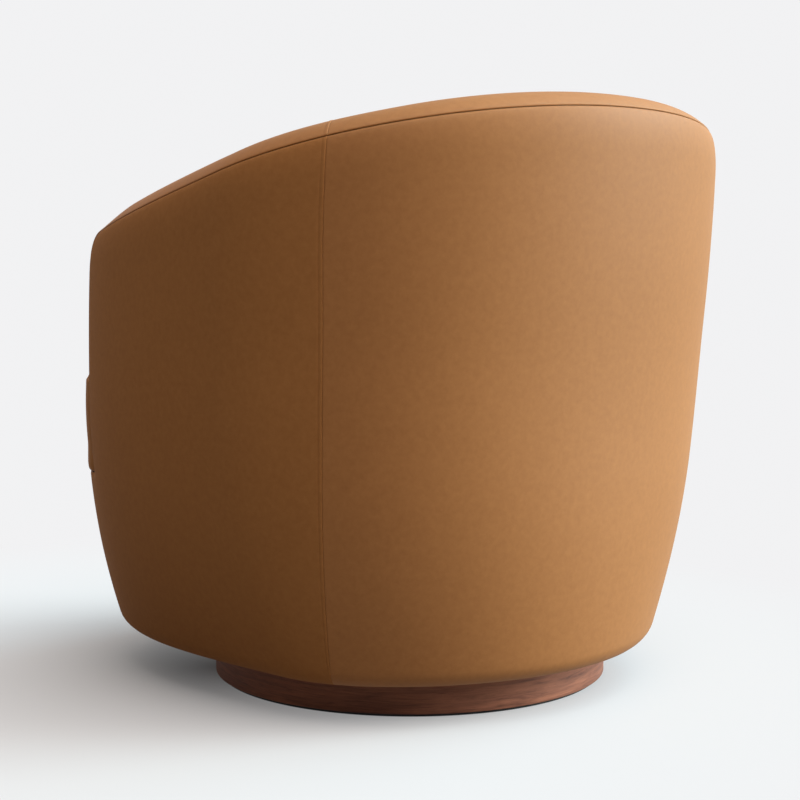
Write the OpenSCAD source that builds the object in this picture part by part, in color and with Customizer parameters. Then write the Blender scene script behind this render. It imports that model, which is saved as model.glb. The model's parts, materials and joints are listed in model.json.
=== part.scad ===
// Swivel accent chair: a leather barrel shell that turns on a round walnut plinth.
// Millimetres, +Z up. The origin lies on the floor under the swivel's axis.
// The sitter faces -Y, the back is towards +Y, and angles are counted from the back towards +X.

/* [Shell plan] */
// Width of the body at its widest
body_w = 760; // [680:2:820]
// From the plan's centre to the outside of the back
back_depth = 276; // [250:1:305]
// From the plan's centre to the front of the seat
front_depth = 506; // [470:1:540]
// How far the plan's centre lies behind the swivel's axis
plan_shift = 61; // [50:1:70]
// Squareness of the plan's back half, where 2 is an ellipse
back_square = 2.1; // [2:0.01:2.4]
// Squareness of the plan's front half
front_square = 2.36; // [2:0.01:2.7]

/* [Shell height] */
// Lowest point of the upholstery
rim_z = 48; // [44:1:60]
// Radius of the rim where the leather turns under
rim_r = 20; // [16:1:26]
// Height of the top seam at the middle of the back
back_top = 707; // [670:1:760]
// Height that the top seam would reach at the very front
arm_top = 538; // [500:1:580]
// How early the top seam drops, where 1 is a straight line
top_sweep = 1.43; // [1:0.01:1.7]
// Height of the widest line at the back
widest_back_z = 454; // [430:1:480]
// Height of the widest line at the front
widest_front_z = 367; // [350:1:400]
// How far the rim is drawn in at the front and back
end_tuck = 31; // [20:1:40]
// How far the rim is drawn in at the sides
side_tuck = 80; // [65:1:90]
// Exponent of the draw-in
tuck_power = 2.3; // [2:0.05:2.8]
// How far the back leans out at its top
lean = 38; // [25:1:48]
// How far the leather rolls in under the top seam
shoulder_in = 7.5; // [2:0.5:10]
// Height of that roll
shoulder_h = 215; // [150:1:240]
// How much further it rolls in close to the seam
edge_in = 8; // [3:0.5:12]
// Height of that closer roll
edge_h = 45; // [30:1:60]

/* [Arms and seams] */
// Angle of the two upright seams of the back panel
seam_angle = 68; // [62:0.5:74]
// Angle at which the arms end
arm_angle = 135; // [130:0.5:140]
// Radius of an arm's top front corner
corner_r = 24; // [20:1:34]
// Height of the rounded top band above its seams
band_crown = 18; // [12:1:24]
// How much higher the band stands along the arms
arm_swell = 7; // [0:0.5:10]
// Angle at which the band starts to rise
swell_from = 55; // [45:1:65]
// Angle from which it keeps that height
swell_full = 95; // [85:1:105]
// Angle from which it sinks again towards the arm's end
swell_till = 115; // [108:1:120]
// Squareness of the band's crown
crown_power = 2.4; // [2:0.1:3.5]
// Angle of the seams that bound the front panel
front_seam_angle = 157; // [150:1:165]

/* [Upholstery layers] */
// Leather, with its backing
leather_t = 2; // [1.4:0.1:2.6]
// Wadding under the outer leather
wadding_t = 7.7; // [5:0.1:10]
// Flexible board nailed round the frame
board_t = 3; // [2:0.1:4]
// Gap between two layers that lie on each other
soft_gap = 0.3; // [0.2:0.05:0.4]
// Webbing strap
web_t = 1.8; // [1:0.1:2.4]
// Cloth over the webbing
liner_t = 0.8; // [0.5:0.1:1.2]
// Inner foam at its top
foam_top_t = 30; // [22:1:36]
// Inner foam at the seat
foam_low_t = 42; // [34:1:50]
// Extra swell of the foam at the small of the back
lumbar = 9; // [0:1:16]
// Depth of the foam roll under the top band
roll_depth = 22; // [18:1:26]
// How far the roll's underside draws back from the leather
roll_under = 1; // [0.5:0.5:3]
// Leather turned under the rim
lip_w = 25; // [18:1:35]
// Black cloth under the chair
dust_t = 0.6; // [0.4:0.1:1]
// Width of that cloth, inwards from the leather
dust_w = 60; // [40:1:80]
// Length over which that cloth steps down from the board to the leather
dust_step = 12; // [8:1:16]

/* [Frame] */
// Plywood of the base board
base_t = 18; // [15:1:22]
// From the base board up to the top of the seat ring
seat_frame_h = 177; // [160:1:190]
// Plywood of the seat ring
ring_t = 22; // [18:1:25]
// Width of the seat ring
ring_w = 80; // [70:1:90]
// Thickness of a rib and of the top rail
rib_t = 18; // [15:1:22]
// Depth of a rib at its top
rib_top_w = 38; // [32:1:44]
// Depth of a rib at the seat
rib_low_w = 45; // [38:1:52]
// Curved board behind the front panel
apron_t = 15; // [12:1:18]
// Gap between a rib's sloping top and the top rail
rib_top_gap = 3; // [2:0.5:5]
// Relief that lets a flat rib clear the bent board
rib_relief = 1.8; // [1.5:0.1:2.4]
// Length of a cleat under the seat ring
cleat_l = 65; // [55:1:75]
// Height of a cleat
cleat_h = 40; // [30:1:50]
// Thickness of a cleat
cleat_t = 20; // [15:1:25]

/* [Springs and deck] */
// Number of seat springs
spring_n = 5; // [4:1:5]
// Distance between two springs
spring_step = 78; // [70:1:82]
// Width of a spring
spring_w = 46; // [40:1:54]
// Distance between two bars of a spring
bar_step = 24; // [20:1:30]
// Wire of the springs
wire_d = 3.8; // [3.2:0.1:4.2]
// Gap between the springs and the felt over them
spring_gap = 0.1; // [0.05:0.05:0.3]
// Length of a spring clip along the wire
clip_l = 22; // [16:1:30]
// Metal of a spring clip
clip_t = 1.2; // [0.8:0.1:1.6]
// Room round a clip in the felt
clip_gap = 1.2; // [0.6:0.1:1.6]
// Felt over the springs
felt_t = 3; // [2:0.5:4]
// Foam sheet over the felt
deck_foam_t = 9; // [6:1:12]
// Deck cloth
deck_t = 1; // [0.6:0.1:1.5]

/* [Seat cushion] */
// Height of the cushion's top seam
seat_edge_z = 378; // [360:1:390]
// Height of the crown above that seam
seat_crown = 54; // [40:1:70]
// Exponent of the crown
seat_crown_power = 2.3; // [2:0.1:3]
// How far the foam stays below the cushion's top cover
core_drop = 1.8; // [1.2:0.1:3]
// Width of the cushion's rounded margin
seat_margin = 14; // [10:1:20]
// How far the boxing swells between its seams
boxing_swell = 3; // [0:0.5:5]
// Distance of the crown's top in front of the swivel's axis
seat_centre = 190; // [170:1:210]
// Gap between the cushion and the arm fronts
ear_gap = 1; // [0.6:0.1:2]
// Cloth under the cushion
cushion_cloth_t = 1.5; // [1:0.1:2]

/* [Plinth and swivel] */
// How far the walnut plinth stands in from the body's widest line
plinth_inset = 126; // [114:1:140]
// Height of the walnut ring
plinth_h = 40; // [36:1:41]
// Wall of the walnut ring
plinth_wall = 20; // [15:1:26]
// Eased edge of the walnut ring
plinth_ease = 1.5; // [0.5:0.1:3]
// Thickness of the felt ring under the plinth
felt_ring_t = 4; // [3:0.5:5]
// Width of the felt ring
felt_ring_w = 22; // [16:1:28]
// How far the felt ring lies inside the plinth's edge
felt_inset = 6; // [4:1:9]
// Height of the whole swivel bearing
swivel_h = 18; // [16:0.5:20]
// Diameter of the hole through the plates
swivel_bore = 80; // [60:2:100]
// Plate thickness
swivel_plate_t = 2.5; // [2:0.1:3]
// Diameter of the ring of balls
ball_ring_d = 220; // [200:2:230]
// Ball diameter
ball_d = 10; // [9:0.5:10.5]
// Number of balls
ball_n = 24; // [12:1:28]
// Width of the raised race
race_w = 18; // [16:1:22]
// Clearance between a ball and its groove
ball_gap = 0.05; // [0.03:0.01:0.1]
// Thickness of the ball cage
cage_t = 1.6; // [1:0.1:2]
// Width of the ball cage
cage_w = 14; // [13:0.5:16]
// Clearance between a ball and its cage
cage_gap = 0.2; // [0.1:0.05:0.3]
// Gap between the two races
race_gap = 4; // [3:0.1:5]
// From the raised race out to the circle of bolts
bolt_off = 16; // [14:1:20]
// From the circle of bolts out to the plate's edge
plate_edge = 15; // [13:1:20]
// Number of screws and of bolts
bolt_n = 4; // [3:1:6]
// Clearance all round a screw or bolt
bolt_gap = 0.1; // [0.05:0.05:0.3]
// Diameter of the wood screws
screw_d = 5; // [4:0.5:6]
// Length of the wood screws below the plate
screw_l = 20; // [14:1:24]
// Diameter of the bolts in the base board
bolt_d = 6; // [5:1:8]
// Head height of the screws and bolts
head_h = 3; // [2:0.5:3.5]
// Bolt length that stands above the base board
bolt_over = 4; // [2:1:8]
// Barrel diameter of a T-nut
tee_d = 9; // [8.5:0.5:11]
// Flange thickness of a T-nut
tee_t = 1.5; // [1:0.1:2]

/* [Centre pivot] */
// Diameter of the pivot bolt
pivot_d = 16; // [12:1:18]
// Running clearance of the pivot bolt in its bush
pivot_gap = 0.05; // [0.03:0.01:0.08]
// Height of the pivot bolt's head
pivot_head_h = 10; // [8:1:11]
// Width over the corners of the head and nut
pivot_hex = 27; // [24:1:30]
// Room round the head in its pocket
pocket_gap = 3; // [2:0.5:5]
// Wall of the pivot bush
bush_wall = 4; // [3:0.5:6]
// Width of the bush's flange beyond its wall
bush_flange = 8; // [5:1:12]
// Thickness of the bush's flange and of the washer
flange_t = 3; // [2:0.5:4]
// Play between the bush and the washer
lift_gap = 0.2; // [0.1:0.05:0.3]
// Height of the lock nut
nut_h = 12; // [9:1:14]
// Thread that stands out above the lock nut
thread_over = 2; // [1:0.5:4]
// How far the pivot bolt's head stays above the felt ring
head_gap = 1; // [0.5:0.5:2]
// How far the washer stays inside the bush's flange
washer_inset = 1; // [0.5:0.5:3]

/* [Hidden] */
$fn = 96;

half_w = body_w / 2;
back_y = plan_shift + back_depth;
front_y = plan_shift - front_depth;

// Heights, from the floor up
base_bottom = rim_z + leather_t;
base_top = base_bottom + base_t;
ring_top = base_top + seat_frame_h;
ring_bottom = ring_top - ring_t;
felt_z = ring_top + wire_d;
deck_foam_z = felt_z + felt_t;
deck_cloth_z = deck_foam_z + deck_foam_t;
deck_z = deck_cloth_z + deck_t;
core_top = base_bottom - swivel_h;
ball_z = core_top + swivel_h / 2;
bush_top = base_top + flange_t;
washer_z = bush_top + lift_gap;
nut_z = washer_z + flange_t;
head_z = felt_ring_t + head_gap;
cushion_z0 = deck_z + soft_gap;
boxing_z0 = cushion_z0 + cushion_cloth_t;

// Diameters of the plinth, of the swivel and at the centre pivot
plinth_d = body_w - 2 * plinth_inset;
bolt_ring_d = ball_ring_d + race_w + 2 * bolt_off;
swivel_d = bolt_ring_d + 2 * plate_edge;
bush_bore = pivot_d + 2 * pivot_gap;
bush_d = pivot_d + 2 * bush_wall;
bush_flange_d = bush_d + 2 * bush_flange;

// Depths, from the outer leather inwards
wadding_d0 = leather_t + soft_gap;
wadding_d1 = wadding_d0 + wadding_t;
board_d0 = wadding_d1 + soft_gap;
board_d1 = board_d0 + board_t;
frame_d = board_d1 + soft_gap;
apron_d1 = board_d0 + apron_t;
web_d1 = soft_gap + web_t;
liner_d0 = web_d1 + soft_gap;
liner_d1 = liner_d0 + liner_t;
foam_d0 = liner_d1 + soft_gap;
roll_in = leather_t + 2 * soft_gap;
rail_drop = roll_depth + 3 * soft_gap;

// Columns of the shell's grid, as angles
back_steps = 18;
side_steps = 8;
front_steps = 3;
panel_steps = 6;
corner_turns = [30, 60, 90];
mm_per_deg = norm(plan_pt(arm_angle) - plan_pt(arm_angle - 1));
corner_a = arm_angle - corner_r / mm_per_deg;
apron_a = arm_angle - roll_depth / 2 / mm_per_deg;
post_a = arm_angle - (rail_drop + rib_t / 2 + 2 * rib_relief) / mm_per_deg;
back_cols = [for (i = [0:back_steps]) mix(-seam_angle, seam_angle, i / back_steps)];
side_cols = [for (i = [0:side_steps]) mix(seam_angle, corner_a, i / side_steps)];
corner_cols = [for (t = corner_turns) corner_a + corner_r * sin(t) / mm_per_deg];
front_cols = [for (i = [0:front_steps]) mix(arm_angle, front_seam_angle, i / front_steps)];
panel_cols = [for (i = [0:panel_steps]) mix(front_seam_angle, 360 - front_seam_angle, i / panel_steps)];
free_cols = concat(after_first(front_cols), inner_items(panel_cols), wrapped(after_first(front_cols)));
apron_cols = concat([apron_a, arm_angle], free_cols, [360 - arm_angle, 360 - apron_a]);
wall_cols = concat(mirrored(side_cols), inner_items(back_cols), side_cols);
arm_cols = concat(mirrored(corner_cols), wall_cols, corner_cols);
rim_cols = concat(arm_cols, free_cols);
// Half the angle over which the springs' rear ends can lie
rear_reach = 80;
// Which columns carry the ribs and the webbing
back_rib_cols = [2, 5, 9, 13, 16];
arm_rib_cols = [2, 5];
back_web_cols = [3, 7, 10, 14];
arm_web_cols = [0, 3, 6];

// Rows of the shell's grid
rim_steps = 3;
low_steps = 2;
high_steps = 3;
in_steps = 4;
crown_steps = 4;
// Two rows are never closer than this
least_row = leather_t / 2;
crown_table = [for (j = [0:crown_steps]) [j / crown_steps, crown_shape(j / crown_steps)]];
cushion_rings = [0.99, 0.85, 0.62, 0.35];
boxing_levels = [0, 0.25, 0.75, 1];
notch_steps = [0, 0.25, 0.5, 0.75, 0.93];
// Share of the crown's fall that is left at the margin
margin_f = 0.94;
// Levels at which the band's arm front has a station, as shares of its height
front_levels = [0.5, 0];

// Small helpers
function mix(p, q, t) = p + (q - p) * t;
function clamp01(v) = min(1, max(0, v));
function eased(v) = let (c = clamp01(v)) c * c * (3 - 2 * c);
function rounded(v) = 1 - sqrt(1 - clamp01(v) * clamp01(v));
function flipped(list) = [for (i = [len(list) - 1:-1:0]) list[i]];
function mirrored(list) = [for (v = flipped(list)) -v];
function inner_items(list) = [for (i = [1:len(list) - 2]) list[i]];
function after_first(list) = [for (i = [1:len(list) - 1]) list[i]];
function thinned(list) = [for (i = [0:len(list) - 1]) if (i % 2 == 0 || i == len(list) - 1) list[i]];
function wrapped(list) = [for (v = flipped(list)) 360 - v];
function pair_up(outer, inner) = concat(outer, flipped(inner));

// The plan: a point of its curve at an angle, and the outward direction there
function plan_n(a) = cos(a) >= 0 ? back_square : front_square;
function plan_d(a) = cos(a) >= 0 ? back_depth : front_depth;
function plan_len(a) =
    pow(pow(abs(sin(a)) / half_w, plan_n(a)) + pow(abs(cos(a)) / plan_d(a), plan_n(a)), -1 / plan_n(a));
function plan_pt(a) = [plan_len(a) * sin(a), plan_shift + plan_len(a) * cos(a)];
function plan_grad(a) =
    let (p = plan_pt(a) - [0, plan_shift], n = plan_n(a), d = plan_d(a))
    [sign(p.x) * pow(abs(p.x) / half_w, n - 1) / half_w, sign(p.y) * pow(abs(p.y) / d, n - 1) / d];
function plan_out(a) = plan_grad(a) / norm(plan_grad(a));
// Direction along the plan, towards the front end of the arm on that side
function plan_on(a) = sin(a) >= 0 ? [plan_out(a).y, -plan_out(a).x] : [-plan_out(a).y, plan_out(a).x];
// A point at an angle, so far out from the plan and so far on along it
function at(a, o, z, on = 0) =
    let (p = plan_pt(a) + o * plan_out(a) + on * plan_on(a)) [p.x, p.y, z];
function flat_at(a, o) = plan_pt(a) + o * plan_out(a);

// Height of the top seam, which drops from the back to the arm fronts
function seam_z(a) =
    let (u = (back_y - plan_pt(a).y) / (back_y - front_y))
    back_top - (back_top - arm_top) * (top_sweep * u + (1 - top_sweep) * u * u);
function corner_s(a) = max(0, (side_a(a) - corner_a) * mm_per_deg);
function side_a(a) = a > 180 ? 360 - a : abs(a);
function corner_drop(a) = corner_r - sqrt(max(0, corner_r * corner_r - corner_s(a) * corner_s(a)));
function top_z(a) = seam_z(a) - corner_drop(a);
function turn(a) = asin(clamp01(corner_s(a) / corner_r));

// Outer surface: how far it stands out from the plan at a height
function draw_in(a, z) =
    let (mid = mix(widest_front_z, widest_back_z, (cos(a) + 1) / 2))
    mix(side_tuck, end_tuck, cos(a) * cos(a)) * pow(clamp01((mid - z) / (mid - rim_z)), tuck_power);
function lean_out(a, z) =
    lean * clamp01((z - widest_front_z) / (back_top - widest_front_z)) * (cos(a) + 1) / 2;
function shoulder(a, z) =
    shoulder_in * pow(clamp01((z - seam_z(a) + shoulder_h) / shoulder_h), 2)
    + edge_in * rounded((z - seam_z(a) + edge_h) / edge_h);
function outer_o(a, z) = lean_out(a, z) - draw_in(a, z) - shoulder(a, z);

// Rows of an outer layer at a depth: the rim's round, then up to the deck, then up to the seam
function rim_row(a, d, t) =
    let (r = rim_r - d, z = rim_z + rim_r - r * sin(t)) [r * cos(t) - rim_r - draw_in(a, z), z];
function rim_rows(a, d) = [for (i = [0:rim_steps]) rim_row(a, d, 90 - 90 * i / rim_steps)];
function low_rows(a, d) =
    [for (i = [1:low_steps]) let (z = mix(rim_z + rim_r, deck_z, i / low_steps)) [outer_o(a, z) - d, z]];
function high_levels(a) =
    concat([for (i = [1:high_steps]) mix(deck_z, top_z(a) - edge_h, i / high_steps)], [top_z(a)]);
function high_rows(a, d) = [for (z = high_levels(a)) [outer_o(a, z) - d, z]];
function by_height(rows) = [for (r = rows) [r[1], r[0]]];
function chord_table(a) = by_height(concat([rim_row(a, 0, 0)], low_rows(a, 0), high_rows(a, 0)));
function chord_o(a, z) = lookup(z, chord_table(a));
function rows_up_to(rows, top) =
    concat([for (r = rows) if (r[1] < top - least_row) r], [[lookup(top, by_height(rows)), top]]);
function outer_rows(a, d, top) = rows_up_to(concat(low_rows(a, d), high_rows(a, d)), top);
function chord_levels(a) = [for (r = chord_table(a)) r[0]];
function levels_between(a, low, high) =
    concat([low], [for (z = chord_levels(a)) if (z > low + least_row && z < high - least_row) z], [high]);

// Inner surfaces: the ribs' inner edge is straight, and the foam swells over it
function frame_low(a) = outer_o(a, ring_top) - frame_d - rib_low_w;
function frame_high(a) = outer_o(a, seam_z(a)) - frame_d - rib_top_w;
function rise(a, z) = (z - ring_top) / (seam_z(a) - ring_top);
function frame_o(a, z) = mix(frame_low(a), frame_high(a), rise(a, z));
function foam_t(a, z) =
    mix(foam_low_t, foam_top_t, rise(a, z)) + lumbar * sin(180 * clamp01(rise(a, z))) * (cos(a) + 1) / 2;
function inner_o(a, z) = frame_o(a, z) - foam_d0 - foam_t(a, z) - soft_gap - leather_t;
function inner_rows(a) =
    [for (i = [0:in_steps]) let (z = mix(ring_top, top_z(a), i / in_steps)) [inner_o(a, z), z]];
function shifted(rows, o) = [for (r = rows) [r[0] + o, r[1]]];
function roll_z(a) = top_z(a) - rail_drop;
function inner_levels(a) = [for (r = rows_up_to(inner_rows(a), roll_z(a))) r[1]];
function inner_chord(a, z) = lookup(z, by_height(inner_rows(a)));

// Stations of the top band: angle, height and how far it has turned down over the arm's front
function top_stations(cols) = [for (a = cols) [a, top_z(a), turn(a)]];
function front_stations(side) =
    let (a = side * arm_angle)
    [for (t = front_levels) [a, mix(deck_z + soft_gap, top_z(a), t), 90]];
function station_dir(s) = let (d = plan_on(s[0]) * sin(s[2])) [d.x, d.y, cos(s[2])];
function station_out(s) = at(s[0], outer_o(s[0], s[1]), s[1]);
function station_in(s) = at(s[0], inner_o(s[0], s[1]), s[1]);
function station_pt(s, t, h) = mix(station_out(s), station_in(s), t) + station_dir(s) * h;
function station_w(s) = norm(station_out(s) - station_in(s));
function crown_shape(t) = 1 - pow(abs(2 * t - 1), crown_power);
function swell(a) =
    arm_swell * eased((side_a(a) - swell_from) / (swell_full - swell_from))
    * (1 - eased((side_a(a) - swell_till) / (arm_angle - swell_till)));
function crown_h(a, t) = (band_crown + swell(a) - leather_t) * lookup(t, crown_table);
function crown_row(s, h) =
    [for (j = [0:crown_steps]) let (t = j / crown_steps) station_pt(s, t, h + crown_h(s[0], t))];
function band_loop(s) = pair_up(crown_row(s, soft_gap + leather_t), crown_row(s, soft_gap));
function roll_loop(s) =
    let (m = roll_in / station_w(s), ts = [for (j = [0:crown_steps]) min(1 - m, max(m, j / crown_steps))],
        a = s[0] - sign(s[0]) * roll_depth * sin(s[2]) / mm_per_deg, z = s[1] - roll_depth * cos(s[2]),
        out = chord_o(a, z) - roll_in - roll_under, in = inner_chord(a, z) + roll_in)
    pair_up([for (t = ts) station_pt(s, t, crown_h(s[0], t))],
        [for (j = [0:crown_steps]) at(a, mix(out, in, j / crown_steps), z)]);

// Cushion: its outline at a height, drawn in by an inset all round
function notch_pts(z, inset, side) =
    let (a = side * arm_angle)
    [for (t = notch_steps) at(a, mix(inner_o(a, z) - soft_gap - inset, outer_o(a, z), t), z,
        crown_h(a, t) + leather_t + soft_gap + ear_gap + inset)];
function ear_cols(inset) =
    let (a = arm_angle + (leather_t + soft_gap + ear_gap + band_crown / 3 + inset) / mm_per_deg)
    concat([a], free_cols, [360 - a]);
function outline(z, inset, swell = 0) = concat(
    [for (a = thinned(arm_cols)) at(a, inner_o(a, z) - soft_gap - inset, z)],
    notch_pts(z, inset, 1),
    [for (a = ear_cols(inset)) at(a, outer_o(a, z) - inset + swell, z)],
    flipped(notch_pts(z, inset, -1)));
function towards(p, f, z) = [p.x * f, mix(-seat_centre, p.y, f), z];
function crown_z(f) = seat_crown * (1 - pow(f, seat_crown_power));
// Rings of the cushion's top: its edge, the rounded margin inside it, and the crown
function top_rings(z, inset) =
    let (margin = outline(z, inset + seat_margin))
    concat([outline(z, inset)],
        [for (f = cushion_rings) [for (p = margin) towards(p, f, z + crown_z(margin_f * f))]]);

// A sheet or layer swept through loops, each an outer row and an inner row in one closed ring.
// Both faces are split along the same diagonals, so that layers nest.
module layer(loops, closed = false) {
    n = len(loops);
    m = len(loops[0]);
    half = m / 2;
    spans = closed ? n : n - 1;
    sides = [for (i = [0:spans - 1], j = [0:m - 1])
        let (k = (i + 1) % n, l = (j + 1) % m, p = i * m + j, q = k * m + j, r = k * m + l, s = i * m + l)
        each j < half ? [[p, q, r], [p, r, s]] : [[p, q, s], [q, r, s]]];
    e = (n - 1) * m;
    caps = closed ? [] : [for (k = [0:half - 2]) let (u = m - 1 - k)
        each [[k, k + 1, u - 1], [k, u - 1, u], [e + k, e + u - 1, e + k + 1], [e + k, e + u, e + u - 1]]];
    polyhedron([for (loop = loops) each loop], concat(sides, caps), convexity = 8);
}

// The same through rows of [out, height] at each column's angle
module wall(cols, outer, inner, closed = false) {
    layer([for (i = [0:len(cols) - 1])
        [for (r = pair_up(outer[i], inner[i])) at(cols[i], r[0], r[1])]], closed);
}

// A solid through rings, from a centre point under the first to one over the last
module pillow(rings, low, high) {
    n = len(rings);
    m = len(rings[0]);
    sides = [for (i = [0:n - 2], j = [0:m - 1])
        let (l = (j + 1) % m, p = i * m + j, q = i * m + l, r = (i + 1) * m + l, s = (i + 1) * m + j)
        each [[p, q, r], [p, r, s]]];
    ends = [for (j = [0:m - 1]) let (l = (j + 1) % m)
        each [[n * m, l, j], [n * m + 1, (n - 1) * m + j, (n - 1) * m + l]]];
    polyhedron(concat([for (ring = rings) each ring], [low, high]), concat(sides, ends), convexity = 8);
}

module disc(d, z0, z1) {
    translate([0, 0, z0]) cylinder(d = d, h = z1 - z0);
}

module round_plate(d_out, d_in, z0, z1) {
    difference() {
        disc(d_out, z0, z1);
        disc(d_in, z0 - 1, z1 + 1);
    }
}

module on_bolt_ring(turned = 0) {
    for (i = [0:bolt_n - 1]) rotate([0, 0, turned + 360 * i / bolt_n])
        translate([bolt_ring_d / 2, 0, 0]) children();
}

module plan_plate(points, z0, z1) {
    translate([0, 0, z0]) linear_extrude(z1 - z0) polygon(points);
}

// A flat piece that stands across the wall at an angle, drawn as [out, height]
module across(a, t) {
    n = plan_out(a);
    p = plan_pt(a);
    translate([p.x, p.y, 0]) rotate([0, 0, atan2(n.y, n.x)])
        rotate([90, 0, 0]) translate([0, 0, -t / 2]) linear_extrude(t) children();
}

// Plinth and swivel
module felt_ring() {
    d = plinth_d - 2 * felt_inset;
    color("dimgray") round_plate(d, d - 2 * felt_ring_w, 0, felt_ring_t);
}

module plinth_ring() {
    r = plinth_d / 2;
    e = plinth_ease;
    w = plinth_wall;
    color("saddlebrown") translate([0, 0, felt_ring_t]) rotate_extrude()
        polygon([[r - w, 0], [r - e, 0], [r, e], [r, plinth_h - e], [r - e, plinth_h], [r - w, plinth_h]]);
}

module plinth_core() {
    color("burlywood") difference() {
        disc(plinth_d - 2 * plinth_wall - 2 * soft_gap, felt_ring_t, core_top);
        disc(pivot_d + 2 * bolt_gap, 0, core_top + 1);
        disc(pivot_hex + 2 * pocket_gap, 0, head_z + pivot_head_h);
        on_bolt_ring() disc(screw_d + 2 * bolt_gap, core_top - screw_l - 1, core_top + 1);
    }
}

module race_groove() {
    rotate_extrude() translate([ball_ring_d / 2, ball_z]) circle(d = ball_d + 2 * ball_gap);
}

// A plate with a raised race on it, grooved for the balls; its children are its holes
module race(z_plate, z_low, z_high) {
    color("silver") difference() {
        union() {
            round_plate(swivel_d, swivel_bore, z_plate, z_plate + swivel_plate_t);
            round_plate(ball_ring_d + race_w, ball_ring_d - race_w, z_low, z_high);
        }
        race_groove();
        children();
    }
}

module lower_race() {
    top = ball_z - race_gap / 2;
    race(core_top, core_top, top)
        on_bolt_ring() disc(screw_d + 2 * bolt_gap, core_top - 1, core_top + swivel_plate_t + 1);
}

module upper_race() {
    low = ball_z + race_gap / 2;
    race(base_bottom - swivel_plate_t, low, base_bottom)
        on_bolt_ring(180 / bolt_n) disc(bolt_d + 2 * bolt_gap, low, base_bottom + 1);
}

module race_screws() {
    color("gray") on_bolt_ring() {
        disc(screw_d, core_top - screw_l, core_top + swivel_plate_t);
        disc(2 * screw_d, core_top + swivel_plate_t, core_top + swivel_plate_t + head_h);
    }
}

module ball_cage() {
    color("goldenrod") difference() {
        round_plate(ball_ring_d + cage_w, ball_ring_d - cage_w, ball_z - cage_t / 2, ball_z + cage_t / 2);
        for (i = [0:ball_n - 1]) rotate([0, 0, 360 * i / ball_n]) translate([ball_ring_d / 2, 0, 0])
            disc(ball_d + 2 * cage_gap, ball_z - cage_t, ball_z + cage_t);
    }
}

module bearing_balls() {
    color("lightgray") for (i = [0:ball_n - 1]) rotate([0, 0, 360 * i / ball_n])
        translate([ball_ring_d / 2, 0, ball_z]) sphere(d = ball_d);
}

module race_bolts() {
    z = base_bottom - swivel_plate_t;
    color("gray") on_bolt_ring(180 / bolt_n) {
        disc(2 * bolt_d, z - head_h, z);
        disc(bolt_d, z, base_top + bolt_over);
    }
}

module tee_nuts() {
    color("gray") on_bolt_ring(180 / bolt_n) difference() {
        union() {
            disc(tee_d, base_top - base_t / 2, base_top);
            disc(2 * tee_d, base_top, base_top + tee_t);
        }
        disc(bolt_d + 2 * bolt_gap, base_bottom, base_top + tee_t + 1);
    }
}

module pivot_bolt() {
    color("gray") {
        translate([0, 0, head_z]) cylinder(d = pivot_hex, h = pivot_head_h, $fn = 6);
        disc(pivot_d, head_z + pivot_head_h, nut_z + nut_h + thread_over);
    }
}

module pivot_bush() {
    color("ivory") difference() {
        union() {
            disc(bush_d, base_bottom, base_top);
            disc(bush_flange_d, base_top, bush_top);
        }
        disc(bush_bore, base_bottom - 1, bush_top + 1);
    }
}

module pivot_washer() {
    color("silver") round_plate(bush_flange_d - 2 * washer_inset, pivot_d + 2 * bolt_gap, washer_z, nut_z);
}

module pivot_nut() {
    color("gray") difference() {
        translate([0, 0, nut_z]) cylinder(d = pivot_hex, h = nut_h, $fn = 6);
        disc(pivot_d + 2 * bolt_gap, nut_z - 1, nut_z + nut_h + 1);
    }
}

// Frame
function rim_edge(a) = rim_row(a, leather_t, 90)[0];

module base_board() {
    color("burlywood") difference() {
        plan_plate([for (a = rim_cols) flat_at(a, rim_edge(a) - soft_gap)], base_bottom, base_top);
        disc(bush_d + 2 * bolt_gap, base_bottom - 1, base_top + 1);
        on_bolt_ring(180 / bolt_n) disc(tee_d + 2 * bolt_gap, base_bottom - 1, base_top + 1);
    }
}

module dust_cover() {
    function rows(a, up) = let (e = rim_edge(a), s = lip_w) [
        [e - s - dust_w, base_bottom - dust_t + up], [e - s - dust_step, base_bottom - dust_t + up],
        [e - s - dust_step / 4, rim_z - dust_t + up], [e - dust_step / 2, rim_z - dust_t + up]];
    color("#222222") wall(rim_cols, [for (a = rim_cols) rows(a, 0)],
        [for (a = rim_cols) rows(a, dust_t)], true);
}

// A rib from the base board to the underside of the top rail
module rib(a, relief = rib_relief) {
    top = roll_z(a) - rib_t - rib_relief - rib_top_gap;
    outer = [for (z = levels_between(a, base_top, top)) [chord_o(a, z) - frame_d - relief, z]];
    inner = [[chord_o(a, base_top) - frame_d - rib_low_w, base_top], [frame_low(a), ring_bottom],
        [frame_low(a), ring_top], [frame_o(a, top), top]];
    across(a, rib_t) polygon(pair_up(outer, inner));
}

module back_ribs() {
    color("tan") for (i = back_rib_cols) rib(back_cols[i]);
}

module left_arm_ribs() {
    color("tan") {
        for (i = arm_rib_cols) rib(side_cols[i]);
        rib(post_a, 2 * rib_relief);
    }
}

module right_arm_ribs() {
    color("tan") {
        for (i = arm_rib_cols) rib(-side_cols[i]);
        rib(-post_a, 2 * rib_relief);
    }
}

module top_rail() {
    function rail_rows(a, inside) = [for (z = [roll_z(a) - rib_t, roll_z(a)])
        [inside ? frame_o(a, z) : chord_o(a, z) - frame_d, z]];
    color("tan") wall(wall_cols, [for (a = wall_cols) rail_rows(a, false)],
        [for (a = wall_cols) rail_rows(a, true)]);
}

function ring_o(a) =
    side_a(a) < apron_a ? frame_low(a) - rib_relief : chord_o(a, ring_bottom) - apron_d1 - soft_gap;

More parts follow.
